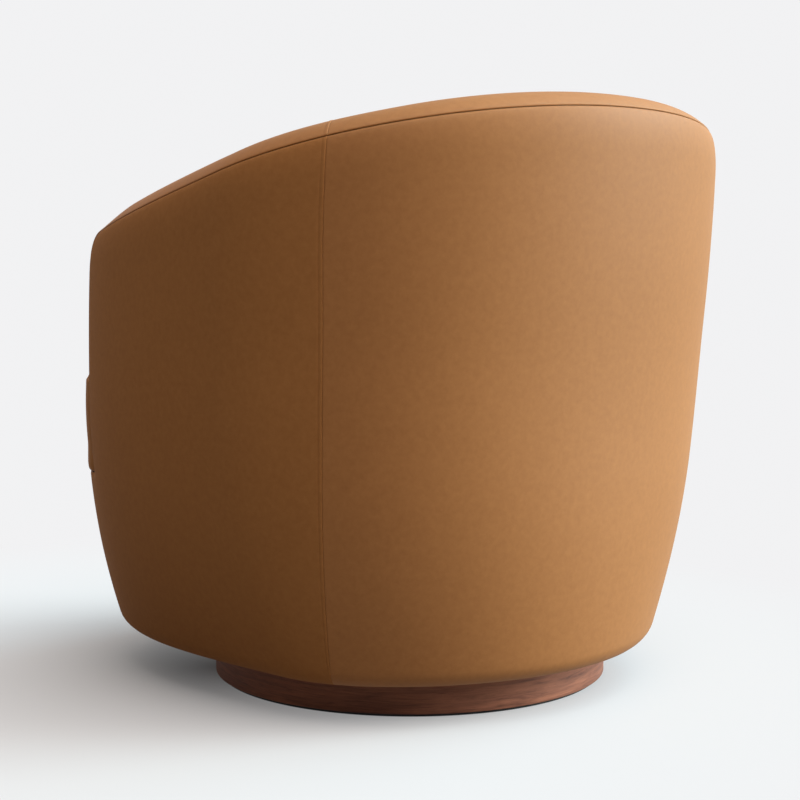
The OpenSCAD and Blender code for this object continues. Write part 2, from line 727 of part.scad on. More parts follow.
module seat_ring() {
    cols = concat(wall_cols, apron_cols);
    color("burlywood") difference() {
        plan_plate([for (a = cols) flat_at(a, ring_o(a))], ring_bottom, ring_top);
        plan_plate([for (a = cols) flat_at(a, ring_o(a) - ring_w)], ring_bottom - 1, ring_top + 1);
    }
}

module ring_cleats() {
    angles = concat([for (i = back_rib_cols) back_cols[i]],
        [for (s = [-1, 1], i = arm_rib_cols) s * side_cols[i]]);
    color("wheat") for (a = angles)
        translate([plan_on(a).x, plan_on(a).y, 0] * -(rib_t + cleat_t) / 2)
            across(a, cleat_t) translate([frame_low(a) - cleat_l + rib_low_w / 2, ring_bottom - cleat_h])
                square([cleat_l, cleat_h]);
}

module apron_board() {
    function rows(a, d) = [for (z = levels_between(a, base_top, ring_top)) [chord_o(a, z) - d, z]];
    color("tan") wall(apron_cols, [for (a = apron_cols) rows(a, board_d0)],
        [for (a = apron_cols) rows(a, apron_d1)]);
}

// Springs and deck
spring_xs = [for (i = [0:spring_n - 1]) (i - (spring_n - 1) / 2) * spring_step];
rear_table = [for (a = wall_cols) if (abs(a) < rear_reach) spring_seat(a, inner_o(a, ring_top))];
front_table = [for (a = flipped(apron_cols)) spring_seat(a, ring_o(a))];
function spring_seat(a, o) = flat_at(a, o - clip_l);
function spring_y(x, table) = lookup(x + sign(x) * spring_w / 2, table);
function wave(x, y0, y1) =
    let (n = floor((y1 - y0) / bar_step), step = (y1 - y0) / n)
    [for (k = [0:n]) each
        let (w = k % 2 == 0 ? spring_w : -spring_w, y = y0 + k * step) [[x - w / 2, y], [x + w / 2, y]]];
function side_of(p, q) = let (d = (q - p) / norm(q - p)) [-d.y, d.x];
function traced(path, w) = [for (i = [0:len(path) - 1])
    let (n0 = i == 0 ? [0, 0] : side_of(path[i - 1], path[i]),
        n1 = i == len(path) - 1 ? [0, 0] : side_of(path[i], path[i + 1])) path[i] + w * (n0 + n1)];

module seat_springs() {
    color("silver") for (x = spring_xs) {
        path = wave(x, spring_y(x, front_table), spring_y(x, rear_table));
        plan_plate(pair_up(traced(path, wire_d / 2), traced(path, -wire_d / 2)),
            ring_top, felt_z - spring_gap);
    }
}

module spring_clips() {
    color("gray") for (x = spring_xs, t = [front_table, rear_table])
        translate([x, spring_y(x, t), ring_top]) difference() {
            translate([-clip_l / 4, -wire_d / 2 - clip_t - bolt_gap, 0])
                cube([clip_l / 2, wire_d + 2 * clip_t + 2 * bolt_gap, wire_d + clip_t]);
            translate([-clip_l, -wire_d / 2 - bolt_gap, -1])
                cube([2 * clip_l, wire_d + 2 * bolt_gap, wire_d + 1]);
        }
}

// The deck's outline follows the inner leather, and steps out to the front panel past the arms
deck_step_a = arm_angle + leather_t / mm_per_deg;
deck_outline = concat(
    [for (a = arm_cols) flat_at(a, inner_o(a, ring_top) - 2 * soft_gap)],
    [flat_at(deck_step_a, inner_o(arm_angle, ring_top))],
    [for (a = concat([deck_step_a], free_cols, [360 - deck_step_a]))
        flat_at(a, chord_o(a, ring_top) - apron_d1)],
    [flat_at(-deck_step_a, inner_o(arm_angle, ring_top))]);

module deck_sheet(z0, z1) {
    plan_plate(deck_outline, z0, z1);
}

module deck_felt() {
    color("darkslategray") difference() {
        deck_sheet(felt_z, deck_foam_z);
        for (x = spring_xs, t = [front_table, rear_table])
            translate([x - clip_l, spring_y(x, t) - clip_l / 2, felt_z - clip_gap])
                cube([2 * clip_l, clip_l, clip_t + 2 * clip_gap]);
    }
}

module deck_foam() {
    color("lightyellow") deck_sheet(deck_foam_z, deck_cloth_z);
}

module deck_cloth() {
    color("dimgray") deck_sheet(deck_cloth_z, deck_z);
}

// Outer layers
module outer_board() {
    function rows(a, d) = [for (z = levels_between(a, base_top, roll_z(a))) [chord_o(a, z) - d, z]];
    color("peru") wall(wall_cols, [for (a = wall_cols) rows(a, board_d0)],
        [for (a = wall_cols) rows(a, board_d1)]);
}

function wadding_rows(a, d, top) = concat(rim_rows(a, d), outer_rows(a, d, top));

module outer_wadding() {
    color("whitesmoke") wall(wall_cols,
        [for (a = wall_cols) wadding_rows(a, wadding_d0, roll_z(a))],
        [for (a = wall_cols) wadding_rows(a, wadding_d1, roll_z(a))]);
}

module apron_wadding() {
    color("whitesmoke") wall(apron_cols,
        [for (a = apron_cols) concat(rim_rows(a, wadding_d0), low_rows(a, wadding_d0))],
        [for (a = apron_cols) concat(rim_rows(a, wadding_d1), low_rows(a, wadding_d1))]);
}

// Leather from the lip under the rim up to the deck, or on to the top seam
module outer_leather(cols, to_seam) {
    function rows(a, d) = concat([rim_row(a, d, 90) - [lip_w, 0]], rim_rows(a, d), low_rows(a, d),
        to_seam ? high_rows(a, d) : []);
    wall(cols, [for (a = cols) rows(a, 0)], [for (a = cols) rows(a, leather_t)]);
}

module outer_leather_back() {
    color("peru") outer_leather(back_cols, true);
}

module outer_leather_left() {
    color("sienna") {
        outer_leather(concat(side_cols, corner_cols), true);
        outer_leather(front_cols, false);
    }
}

module outer_leather_right() {
    color("sienna") {
        outer_leather(mirrored(concat(side_cols, corner_cols)), true);
        outer_leather(mirrored(front_cols), false);
    }
}

module apron_leather() {
    color("peru") outer_leather(panel_cols, false);
}

// Inner layers
module webbing() {
    function strap(a, d) = [for (z = inner_levels(a)) [frame_o(a, z) - d, z]];
    arm_pairs = [for (i = arm_web_cols) [side_cols[i], side_cols[i + 1]]];
    pairs = concat([for (i = back_web_cols) [back_cols[i], back_cols[i + 1]]],
        arm_pairs, [for (cols = arm_pairs) mirrored(cols)]);
    color("tan") for (cols = pairs)
        wall(cols, [for (a = cols) strap(a, soft_gap)], [for (a = cols) strap(a, web_d1)]);
}

module inner_liner() {
    function sheet(a, d) = [for (z = inner_levels(a)) [frame_o(a, z) - d, z]];
    color("linen") wall(wall_cols, [for (a = wall_cols) sheet(a, liner_d0)],
        [for (a = wall_cols) sheet(a, liner_d1)]);
}

module inner_foam() {
    function skin_rows(a) = rows_up_to(shifted(inner_rows(a), leather_t + soft_gap), roll_z(a));
    color("lightyellow") wall(wall_cols,
        [for (a = wall_cols) [for (r = skin_rows(a)) [frame_o(a, r[1]) - foam_d0, r[1]]]],
        [for (a = wall_cols) skin_rows(a)]);
}

module inner_leather(cols) {
    wall(cols, [for (a = cols) shifted(inner_rows(a), leather_t)], [for (a = cols) inner_rows(a)]);
}

module inner_leather_back() {
    color("peru") inner_leather(back_cols);
}

module inner_leather_left() {
    color("sienna") inner_leather(concat(side_cols, corner_cols));
}

module inner_leather_right() {
    color("sienna") inner_leather(mirrored(concat(side_cols, corner_cols)));
}

// Top roll and band, which turn down over the arm fronts
arm_stations = concat(top_stations(concat(side_cols, corner_cols)), front_stations(1));
far_stations = concat(flipped(front_stations(-1)), top_stations(mirrored(concat(side_cols, corner_cols))));

module top_roll() {
    stations = concat(far_stations, top_stations(inner_items(back_cols)), arm_stations);
    color("lightyellow") layer([for (s = stations) roll_loop(s)]);
}

module top_band_back() {
    color("peru") layer([for (s = top_stations(back_cols)) band_loop(s)]);
}

module top_band_left() {
    color("sienna") layer([for (s = arm_stations) band_loop(s)]);
}

module top_band_right() {
    color("sienna") layer([for (s = far_stations) band_loop(s)]);
}

// Seat cushion
module cushion_core() {
    inset = leather_t + soft_gap;
    low = boxing_z0 + soft_gap;
    sides = [for (t = boxing_levels) if (t < 1)
        outline(mix(low, seat_edge_z, t), inset, boxing_swell * sin(180 * t))];
    color("lightyellow") pillow(concat(sides, top_rings(seat_edge_z - core_drop, inset)),
        [0, -seat_centre, low], [0, -seat_centre, seat_edge_z - core_drop + seat_crown]);
}

module cushion_top() {
    z = seat_edge_z + leather_t;
    color("peru") pillow(concat(flipped(top_rings(seat_edge_z, 0)), top_rings(z, 0)),
        [0, -seat_centre, seat_edge_z + seat_crown], [0, -seat_centre, z + seat_crown]);
}

module cushion_boxing() {
    function ring(t, inset) = outline(mix(boxing_z0, seat_edge_z, t), inset, boxing_swell * sin(180 * t));
    outer = [for (t = boxing_levels) ring(t, 0)];
    inner = [for (t = boxing_levels) ring(t, leather_t)];
    color("sienna") layer([for (i = [0:len(outer[0]) - 1])
        pair_up([for (row = outer) row[i]], [for (row = inner) row[i]])], true);
}

module cushion_bottom() {
    color("dimgray") plan_plate([for (p = outline(boxing_z0, 0)) [p.x, p.y]], cushion_z0, boxing_z0);
}

felt_ring();
plinth_ring();
plinth_core();
lower_race();
race_screws();
pivot_bolt();
pivot_washer();
pivot_nut();
ball_cage();
bearing_balls();
upper_race();
race_bolts();
tee_nuts();
pivot_bush();
base_board();
dust_cover();
back_ribs();
left_arm_ribs();
right_arm_ribs();
top_rail();
seat_ring();
ring_cleats();
apron_board();
seat_springs();
spring_clips();
deck_felt();
deck_foam();
deck_cloth();
outer_board();
outer_wadding();
apron_wadding();
webbing();
inner_liner();
inner_foam();
top_roll();
outer_leather_back();
outer_leather_left();
outer_leather_right();
apron_leather();
inner_leather_back();
inner_leather_left();
inner_leather_right();
top_band_back();
top_band_left();
top_band_right();
cushion_core();
cushion_top();
cushion_boxing();
cushion_bottom();
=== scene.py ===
"""Swivel accent chair in leather on a walnut plinth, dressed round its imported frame, with its studio."""

import json
import math
from functools import lru_cache

import bmesh
import bpy
import numpy as np
from bpy.props import FloatProperty, FloatVectorProperty, PointerProperty
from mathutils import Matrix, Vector
from mathutils.kdtree import KDTree


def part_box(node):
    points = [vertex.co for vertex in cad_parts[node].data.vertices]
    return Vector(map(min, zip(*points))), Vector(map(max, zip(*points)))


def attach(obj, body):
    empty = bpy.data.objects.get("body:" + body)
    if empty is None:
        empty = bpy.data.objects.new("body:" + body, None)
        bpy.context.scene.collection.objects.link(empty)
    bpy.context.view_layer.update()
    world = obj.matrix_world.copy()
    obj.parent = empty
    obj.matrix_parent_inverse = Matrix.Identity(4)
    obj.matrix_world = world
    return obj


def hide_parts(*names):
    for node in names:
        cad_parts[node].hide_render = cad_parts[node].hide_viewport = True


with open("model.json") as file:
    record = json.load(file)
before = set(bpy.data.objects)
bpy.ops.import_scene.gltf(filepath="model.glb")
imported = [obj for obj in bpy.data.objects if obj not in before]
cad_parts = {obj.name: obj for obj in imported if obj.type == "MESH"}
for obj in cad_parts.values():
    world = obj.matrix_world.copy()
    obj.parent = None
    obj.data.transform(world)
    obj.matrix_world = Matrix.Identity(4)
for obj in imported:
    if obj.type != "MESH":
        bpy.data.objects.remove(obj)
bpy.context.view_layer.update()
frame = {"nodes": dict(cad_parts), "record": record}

bl_info = {
    "name": "Swivel accent chair",
    "version": (1, 0, 0),
    "blender": (4, 5, 0),
    "location": "3D View > Sidebar > Chair",
    "description": "Dresses a swivel accent chair in leather, felt and walnut, and sets up its studio",
    "category": "Object",
}

# Heights that the construction fixes
RIM_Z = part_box("outer_leather_back")[0].z
BASE_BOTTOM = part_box("base_board")[0].z
RING_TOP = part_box("seat_ring")[1].z
DECK_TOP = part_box("deck_cloth")[1].z
# The deck's felt lies on the springs, just above the seat ring
DECK_FOOT = RING_TOP + 0.004

QUARTER = math.pi / 2
FULL_TURN = 2 * math.pi
# The sitter's two sides, where +X is the left
SIDES = {"left": 1, "right": -1}
# A distance past which no seam is felt
FAR = 1.0
# How near two points are merged
WELD = 1e-6

# How softly the back starts to lean out, as a share of the way up from the widest line
LEAN_EASE = 0.22
# How much further the upright seams have drifted close to their top, and at which share of the way down
DRIFT_LEAD, DRIFT_LEAD_AT = 0.6, 0.12
# Half the width and the depth of the crease between a panel and the band
CREASE, CREASE_DEPTH = 0.0013, 0.0004
# How near an upright seam the leather rolls in, and how deep on the back, the front and the band
SEAM, SEAM_DEPTH, FRONT_SEAM_DEPTH, BAND_SEAM_DEPTH = 0.0012, 0.0005, 0.0009, 0.0004
# The same inside the chair, and along the cushion's seams
INNER_SEAM, INNER_SEAM_DEPTH = 0.002, 0.0018
CUSHION_SEAM, CUSHION_SEAM_DEPTH = 0.004, 0.003
# How far below the deck the leather in front of the arms rolls in, and how deep
UNDER_ROLL, UNDER_ROLL_DEPTH = 0.008, 0.0015
# The felled seam's raised strip: its height, how soon it is up, where it sinks and how soon it has sunk
RIDGE, RIDGE_RISE, RIDGE_TILL, RIDGE_FALL = 0.0004, 0.0014, 0.0030, 0.0016
# That strip's second line: its distance from the seam, half its width and its depth
SECOND_LINE, LINE_WIDTH, LINE_DEPTH = 0.0052, 0.0007, 0.0003
# Where the band's edge turns down: the inset from its seam, and the share of the leather's height there
BAND_TURN = ((0.0007, 0.1), (0.0002, 0.3), (0.0, 0.55))
# How far a seam's painted shade reaches, and how strong it is on the outer panels
SEAM_SHADE, OUTER_SHADE = 0.008, 0.6
# How far forward of an arm's front the side panel's roll under the cushion is complete
ROLL_IN = 0.02

# Share of the cushion's simulated sideways moves that is kept, because the arms hold it
SIDEWAYS = 0.12
# Heights above the deck between which the cushion's moves set in, because it lies flat
LYING, FREE = 0.01, 0.03
# How far past an arm's front the cushion's side strip starts to stand out, and over how long a way
EAR_START, EAR_WAY = 0.03, 0.05
# Share of the way out from the crown's centre up to which the cushion follows its rounder outline
ROUND_TILL = 0.25
# Frames of the cushion's simulation, and how many of its points a move is taken from
FRAMES, NEIGHBOURS = 20, 48
# Points of the cushion's outline
OUTLINE_POINTS = 300

# Radius of the studio's floor, and width of the camera's frame in millimetres
FLOOR_RADIUS, SENSOR = 9, 36.0

# Distances from a seam at which a panel has its finest rows
EDGE_STEPS = (0.0, 0.0003, 0.0007, 0.0012, 0.0018, 0.0026, 0.0038, 0.0055, 0.008)
# The same beside the felled seam, with rows on its second line
FELLED_STEPS = (0.0, 0.0003, 0.0007, 0.0012, 0.0018, 0.0026, 0.0034, 0.0042, 0.0047, 0.005, 0.0053, 0.0058,
                0.0066, 0.0085, 0.011)


def length(name, default, description):
    """A size in metres."""
    return FloatProperty(name=name, default=default, description=description, unit="LENGTH", precision=4)


def angle(name, degrees, description):
    """An angle, stored in radians."""
    return FloatProperty(name=name, default=math.radians(degrees), description=description, unit="ROTATION")


def number(name, default, description):
    """A plain number, such as an exponent or a lamp's share."""
    return FloatProperty(name=name, default=default, description=description)


def colour(name, default, description):
    """A linear colour."""
    return FloatVectorProperty(name=name, default=default, description=description, subtype="COLOR",
                               min=0, max=1)


class ShellSizes(bpy.types.PropertyGroup):
    """Plan, walls and seams of the shell."""

    body_width: length("Body width", 0.760, "Width of the body at its widest")
    back_depth: length("Back depth", 0.276, "From the plan's centre to the outside of the back")
    front_depth: length("Front depth", 0.506, "From the plan's centre to the front of the seat")
    plan_shift: length("Plan shift", 0.061, "How far the plan's centre lies behind the swivel's axis")
    back_square: number("Back squareness", 2.1, "Squareness of the plan's back half, where 2 is an ellipse")
    front_square: number("Front squareness", 2.36, "Squareness of the plan's front half")
    rim_radius: length("Rim radius", 0.020, "Radius of the rim where the leather turns under")
    back_top: length("Back height", 0.707, "Height of the top seam at the middle of the back")
    arm_top: length("Front height", 0.538, "Height that the top seam would reach at the very front")
    top_sweep: number("Top sweep", 1.43, "How early the top seam drops, where 1 is a straight line")
    widest_back: length("Widest line, back", 0.454, "Height of the widest line at the back")
    widest_front: length("Widest line, front", 0.367, "Height of the widest line at the front")
    end_tuck: length("End draw-in", 0.031, "How far the rim is drawn in at the front and back")
    side_tuck: length("Side draw-in", 0.080, "How far the rim is drawn in at the sides")
    tuck_power: number("Draw-in power", 2.3, "Exponent of the draw-in")
    lean: length("Lean", 0.038, "How far the back leans out at its top")
    shoulder_in: length("Shoulder", 0.0075, "How far the leather rolls in under the top seam")
    shoulder_height: length("Shoulder height", 0.215, "Height of that roll")
    edge_in: length("Edge roll", 0.008, "How much further it rolls in close to the seam")
    edge_height: length("Edge roll height", 0.045, "Height of that closer roll")
    seam_angle: angle("Panel seam", 68.0, "Angle of the upright seams at their top")
    seam_drift: angle("Seam drift", 2.6, "How far those seams drift forward down to the rim")
    arm_angle: angle("Arm end", 135, "Angle at which the arms end")
    front_seam: angle("Front seam", 157.0, "Angle of the seams that bound the front panel")
    corner_radius: length("Arm corner", 0.024, "Radius of an arm's top front corner")
    band_crown: length("Band crown", 0.018, "Height of the rounded top band above its seams")
    crown_power: number("Band power", 2.4, "Squareness of the band's crown")
    arm_swell: length("Arm swell", 0.007, "How much higher the band stands along the arms")
    swell_from: angle("Swell start", 55, "Angle at which the band starts to rise")
    swell_full: angle("Swell full", 95, "Angle from which it keeps that height")
    swell_till: angle("Swell end", 121, "Angle from which it sinks again towards the arm's end")
    lip: length("Lip", 0.025, "Leather turned under the rim")


class PaddingSizes(bpy.types.PropertyGroup):
    """Layers between the outer and the inner leather."""

    leather: length("Leather", 0.002, "Leather with its backing")
    gap: length("Gap", 0.0003, "Gap between two layers that lie on each other")
    wadding: length("Wadding", 0.0077, "Wadding under the outer leather")
    board: length("Board", 0.003, "Flexible board round the ribs")
    apron: length("Apron board", 0.015, "Curved board behind the front panel")
    web: length("Webbing", 0.0018, "Webbing straps")
    liner: length("Liner", 0.0008, "Cloth over the webbing")
    rib_low: length("Rib, low", 0.045, "Depth of a rib at the seat")
    rib_top: length("Rib, top", 0.038, "Depth of a rib at its top")
    foam_top: length("Foam, top", 0.030, "Inner foam at its top")
    foam_low: length("Foam, low", 0.042, "Inner foam at the seat")
    lumbar: length("Lumbar", 0.009, "Extra swell of the foam at the small of the back")
    roll_depth: length("Roll depth", 0.022, "Depth of the foam roll under the top band")
    dust_width: length("Dust cover", 0.060, "Width of the black cloth under the chair")
    dust_cloth: length("Dust cloth", 0.0006, "Thickness of that cloth")


class CushionSizes(bpy.types.PropertyGroup):
    """The loose T-shaped seat cushion."""

    edge_height: length("Edge height", 0.378, "Height of the cushion's top seam above the floor")
    crown: length("Crown", 0.054, "Height of the crown above that seam")
    crown_power: number("Crown power", 2.3, "Exponent of the crown")
    puff: length("Edge puff", 0.007, "How far the leather stands up close to the seam")
    puff_power: number("Puff power", 26.0, "How close to the seam it does so")
    swell: length("Boxing swell", 0.003, "How far the side strip swells between its seams")
    centre: length("Crown centre", 0.190, "Distance of the crown's top in front of the swivel's axis")
    ear_gap: length("Ear gap", 0.001, "Gap between the cushion and the arm fronts")
    bottom: length("Under-cloth", 0.0015, "Cloth under the cushion")
    voxel: length("Remesh size", 0.0065, "Grid of the simulated cushion")
    give: length("Largest give", 0.007, "How far the simulation may move a point")


class Finishes(bpy.types.PropertyGroup):
    """Colours of the materials."""

    leather: colour("Leather", (0.405, 0.161, 0.049), "Tan leather")
    leather_deep: colour("Leather, deep", (0.335, 0.128, 0.036), "Its darker mottling")
    walnut: colour("Walnut", (0.430, 0.155, 0.086), "Walnut between its grain lines")
    walnut_deep: colour("Walnut, deep", (0.170, 0.058, 0.034), "Walnut's grain lines")
    birch: colour("Birch", (0.62, 0.45, 0.27), "Raw plywood")
    birch_deep: colour("Birch, deep", (0.38, 0.23, 0.12), "Its grain and darker plies")
    board: colour("Fibreboard", (0.33, 0.22, 0.13), "Flexible board")
    foam: colour("Foam", (0.78, 0.68, 0.42), "Upholstery foam")
    wadding: colour("Wadding", (0.80, 0.80, 0.77), "Polyester wadding")
    felt: colour("Felt", (0.030, 0.028, 0.027), "Felt ring and deck felt")
    cloth: colour("Black cloth", (0.018, 0.018, 0.019), "Deck, liner and dust cloth")
    jute: colour("Jute", (0.36, 0.25, 0.14), "Webbing straps")
    zinc: colour("Zinc", (0.60, 0.61, 0.62), "Plated steel")
    brass: colour("Brass", (0.66, 0.44, 0.16), "Ball cage")
    nylon: colour("Nylon", (0.72, 0.71, 0.66), "Pivot bush")


class StudioSizes(bpy.types.PropertyGroup):
    """Camera, lamps and backdrop."""

    camera_place: FloatVectorProperty(name="Camera", default=(1.6105, 1.5107, 0.5353), subtype="TRANSLATION",
                                      description="Where the camera stands")
    camera_heading: angle("Heading", 133.5, "Turn of the camera round the upright, from looking at the back")
    camera_pitch: angle("Pitch", 4.72, "How far the camera looks down")
    lens: FloatProperty(name="Lens", default=76.5, unit="CAMERA", description="Focal length on a 36 mm frame")
    key_strength: number("Key", 4.52, "Strength of the low light from the right")
    key_turn: angle("Key turn", 95, "Turn of that light to the right of the camera")
    key_height: angle("Key height", 17, "How high it stands")
    key_spread: angle("Key spread", 34, "Its width, which softens the shadow")
    top_strength: number("Top light", 2.0, "Strength of the high light")
    top_turn: angle("Top light turn", 45, "Turn of that light to the right of the camera")
    top_height: angle("Top light height", 60, "How high it stands")
    top_spread: angle("Top light spread", 60, "Its width, which softens the shadow")
    rim_strength: number("Rim light", 2.4, "Strength of the cool light from the right and behind")
    rim_turn: angle("Rim light turn", 113, "Turn of that light to the right of the camera")
    rim_height: angle("Rim light height", 40, "How high it stands")
    rim_spread: angle("Rim light spread", 50, "Its width, which softens the shadow")
    ambient: number("Ambient", 0.095, "Light from the horizon")
    overhead: number("Overhead", 0.9, "Light from straight above, more than the horizon's")
    backdrop: colour("Backdrop", (0.885, 0.885, 0.895), "The wall, as the camera sees it")
    floor: colour("Floor", (0.60, 0.562, 0.543), "The floor")
    key_tint: colour("Key tint", (0.84, 0.99, 1.0), "Colour of the light from the right")
    rim_tint: colour("Rim light tint", (0.35, 0.78, 1.0), "Colour of the light from the right and behind")
    top_tint: colour("Top light tint", (1.0, 1.0, 1.0), "Colour of the high light")
    sky_tint: colour("Sky tint", (1.0, 0.97, 0.92), "Colour of the light from above")
    floor_bounce: colour("Floor bounce", (0.20, 0.172, 0.148), "The floor, as it throws light on the chair")
    fade_from: length("Fade start", -0.04, "Where the floor starts to clear, from the shadow's middle")
    fade_till: length("Fade end", 1.05, "Where it is as pale as the wall")
    shadow_middle: length("Shadow middle", 0.24, "How far to the camera's left the shadow has its middle")


GROUPS = {
    "chair_shell": ShellSizes,
    "chair_padding": PaddingSizes,
    "chair_cushion": CushionSizes,
    "chair_finishes": Finishes,
    "chair_studio": StudioSizes,
}


# Numbers and curves


def mix(p, q, t):
    """The value a share t of the way from p to q."""
    return p + (q - p) * t


def clamp01(value):
    """The value, kept between 0 and 1."""
    return min(1.0, max(0.0, value))


def smooth(value):
    """An S-curve from 0 to 1."""
    value = clamp01(value)
    return value * value * (3 - 2 * value)


def eased_on(value, ease):
    """0 below 0 and the value itself above it, with a soft start that reaches so far both ways."""
    if value <= -ease:
        return 0.0
    return value if value >= ease else (value + ease) ** 2 / (4 * ease)


def tuck(distance, radius, depth):
    """How deep a panel has rolled in at a distance from its seam."""
    if distance >= radius:
        return 0.0
    return depth * (1 - math.sqrt(max(0.0, 1 - (1 - distance / radius) ** 2)))


def evenly(first, last, steps):
    """Values from first to last in even steps."""
    return [mix(first, last, i / steps) for i in range(steps + 1)]


def reaches(points):
    """How far each of a line's points lies along it."""
    return np.concatenate([[0], np.cumsum(np.linalg.norm(np.diff(points, axis=0), axis=1))])


def smoothed(loop, passes):
    """A closed loop of points, each drawn towards its neighbours so many times."""
    for _ in range(passes):
        loop = (np.roll(loop, 1, axis=0) + 2 * loop + np.roll(loop, -1, axis=0)) / 4
    return [Vector(p) for p in loop]


def mirrored(points):
    """The points on the other side of the chair."""
    return [Vector((-p.x, p.y, p.z)) for p in points]


def bell(distance, middle, half_width):
    """A soft bump of height 1 round a middle."""
    return math.exp(-(((distance - middle) / half_width) ** 2))


def graded(total, count, start=EDGE_STEPS, end=EDGE_STEPS):
    """Distances from 0 to total, in the given steps at each end and evenly in count steps between them."""
    tail = [total - step for step in reversed(end)]
    middle = [mix(start[-1], tail[0], i / count) for i in range(1, count)]
    return list(start) + middle + tail


class Shell:
    """The chair's plan and walls as formulas. Angles run from the back, +Y, towards +X."""

    def __init__(self):
        scene = bpy.context.scene
        for group in (scene.chair_shell, scene.chair_padding, scene.chair_cushion):
            prefix = "seat_" if group == scene.chair_cushion else ""
            for key in type(group).__annotations__:
                setattr(self, prefix + key, getattr(group, key))
        self.back_y = self.plan_shift + self.back_depth
        self.front_y = self.plan_shift - self.front_depth
        self.board_depth = self.leather + self.wadding + 2 * self.gap
        self.frame_depth = self.board_depth + self.board + self.gap
        self.foam_start = 3 * self.gap + self.web + self.liner
        step = math.radians(1)
        self.per_radian = (self.plan(self.arm_angle)[0] - self.plan(self.arm_angle - step)[0]).length / step
        self.corner_start = self.arm_angle - self.corner_radius / self.per_radian
        self.roll_start = self.arm_angle - self.roll_depth / 2 / self.per_radian

    @lru_cache(maxsize=None)
    def plan(self, a):
        """The plan's point at an angle, the way out there, and the way on towards the arm's front."""
        back = math.cos(a) >= 0
        power = self.back_square if back else self.front_square
        depth = self.back_depth if back else self.front_depth
        half = self.body_width / 2
        reach = ((abs(math.sin(a)) / half) ** power + (abs(math.cos(a)) / depth) ** power) ** (-1 / power)
        x, y = reach * math.sin(a), reach * math.cos(a)
        out = Vector((math.copysign((abs(x) / half) ** (power - 1) / half, x),
                      math.copysign((abs(y) / depth) ** (power - 1) / depth, y), 0)).normalized()
        on = Vector((out.y, -out.x, 0)) if math.sin(a) >= 0 else Vector((-out.y, out.x, 0))
        return Vector((x, y + self.plan_shift, 0)), out, on

    def at(self, a, out, z, on=0.0):
        """A point at an angle and height, so far out from the plan and so far on along it."""
        point, way_out, way_on = self.plan(a)
        spot = point + way_out * out + way_on * on
        spot.z = z
        return spot

    @lru_cache(maxsize=None)
    def seam_height(self, a):
        """Height of the top seam."""
        u = (self.back_y - self.plan(a)[0].y) / (self.back_y - self.front_y)
        drop = self.top_sweep * u + (1 - self.top_sweep) * u * u
        return self.back_top - (self.back_top - self.arm_top) * drop

    def angle_off(self, a):
        """How far round from the back an angle lies, whichever way it was counted."""
        return FULL_TURN - a if a > math.pi else abs(a)

    def into_corner(self, a):
        """How far past the start of the arm's rounded corner an angle lies."""
        return max(0.0, (self.angle_off(a) - self.corner_start) * self.per_radian)

    def to_front(self, a):
        """How far before the arm's front an angle lies."""
        return max(0.0, (self.arm_angle - a) * self.per_radian)

    @lru_cache(maxsize=None)
    def top(self, a):
        """Height of a panel's top edge, which rounds down at the arm's front."""
        across = min(self.into_corner(a), self.corner_radius)
        return self.seam_height(a) - self.corner_radius + math.sqrt(self.corner_radius**2 - across**2)

    def turned(self, a):
        """How far the band has turned forward over the arm's corner."""
        return math.asin(clamp01(self.into_corner(a) / self.corner_radius))

    def draw_in(self, a, z):
        """How far the wall is drawn in below its widest line."""
        widest = mix(self.widest_front, self.widest_back, (math.cos(a) + 1) / 2)
        most = mix(self.side_tuck, self.end_tuck, math.cos(a) ** 2)
        return most * clamp01((widest - z) / (widest - RIM_Z)) ** self.tuck_power

    def outer(self, a, z):
        """How far the outer leather stands out from the plan at a height."""
        rise = eased_on((z - self.widest_front) / (self.back_top - self.widest_front), LEAN_EASE)
        shoulder = clamp01((z - self.seam_height(a) + self.shoulder_height) / self.shoulder_height)
        close = clamp01((z - self.seam_height(a) + self.edge_height) / self.edge_height)
        rolled = self.shoulder_in * shoulder**2 + self.edge_in * (1 - math.sqrt(1 - close**2))
        return self.lean * rise * (math.cos(a) + 1) / 2 - self.draw_in(a, z) - rolled

    def rim(self, a, turn, depth=0.0):
        """Out and height of the rim's round at a turn up from its underside, at a depth below the leather."""
        z = RIM_Z + self.rim_radius - (self.rim_radius - depth) * math.cos(turn)
        return (self.rim_radius - depth) * math.sin(turn) - self.rim_radius - self.draw_in(a, z), z

    @lru_cache(maxsize=None)
    def frame_ends(self, a):
        """How far out the ribs' inner edge stands at the seat and at the top."""
        low = self.outer(a, RING_TOP) - self.frame_depth - self.rib_low
        high = self.outer(a, self.seam_height(a)) - self.frame_depth - self.rib_top
        return low, high

    def risen(self, a, z):
        """The share of the way up from the seat ring to the top seam."""
        return (z - RING_TOP) / (self.seam_height(a) - RING_TOP)

    def frame_in(self, a, z):
        """How far out the ribs' inner edge stands."""
        return mix(*self.frame_ends(a), self.risen(a, z))

    def inner(self, a, z):
        """How far out the inner leather stands."""
        share = self.risen(a, z)
        swell = self.lumbar * math.sin(math.pi * clamp01(share)) * (math.cos(a) + 1) / 2
        foam = mix(self.foam_low, self.foam_top, share) + swell
        return self.frame_in(a, z) - self.foam_start - foam - self.gap - self.leather

    def drifted(self, a, z):
        """The angle at a height of a column that follows the panel seams' drift."""
        size = abs(a)
        if size >= self.arm_angle:
            return a
        fall = clamp01((self.seam_height(a) - z) / (self.seam_height(a) - RIM_Z))
        fall += DRIFT_LEAD * fall * bell(fall, DRIFT_LEAD_AT, DRIFT_LEAD_AT)
        hold = size / self.seam_angle if size < self.seam_angle else (
            (self.arm_angle - size) / (self.arm_angle - self.seam_angle))
        return a + math.copysign(self.seam_drift * fall * hold, a)

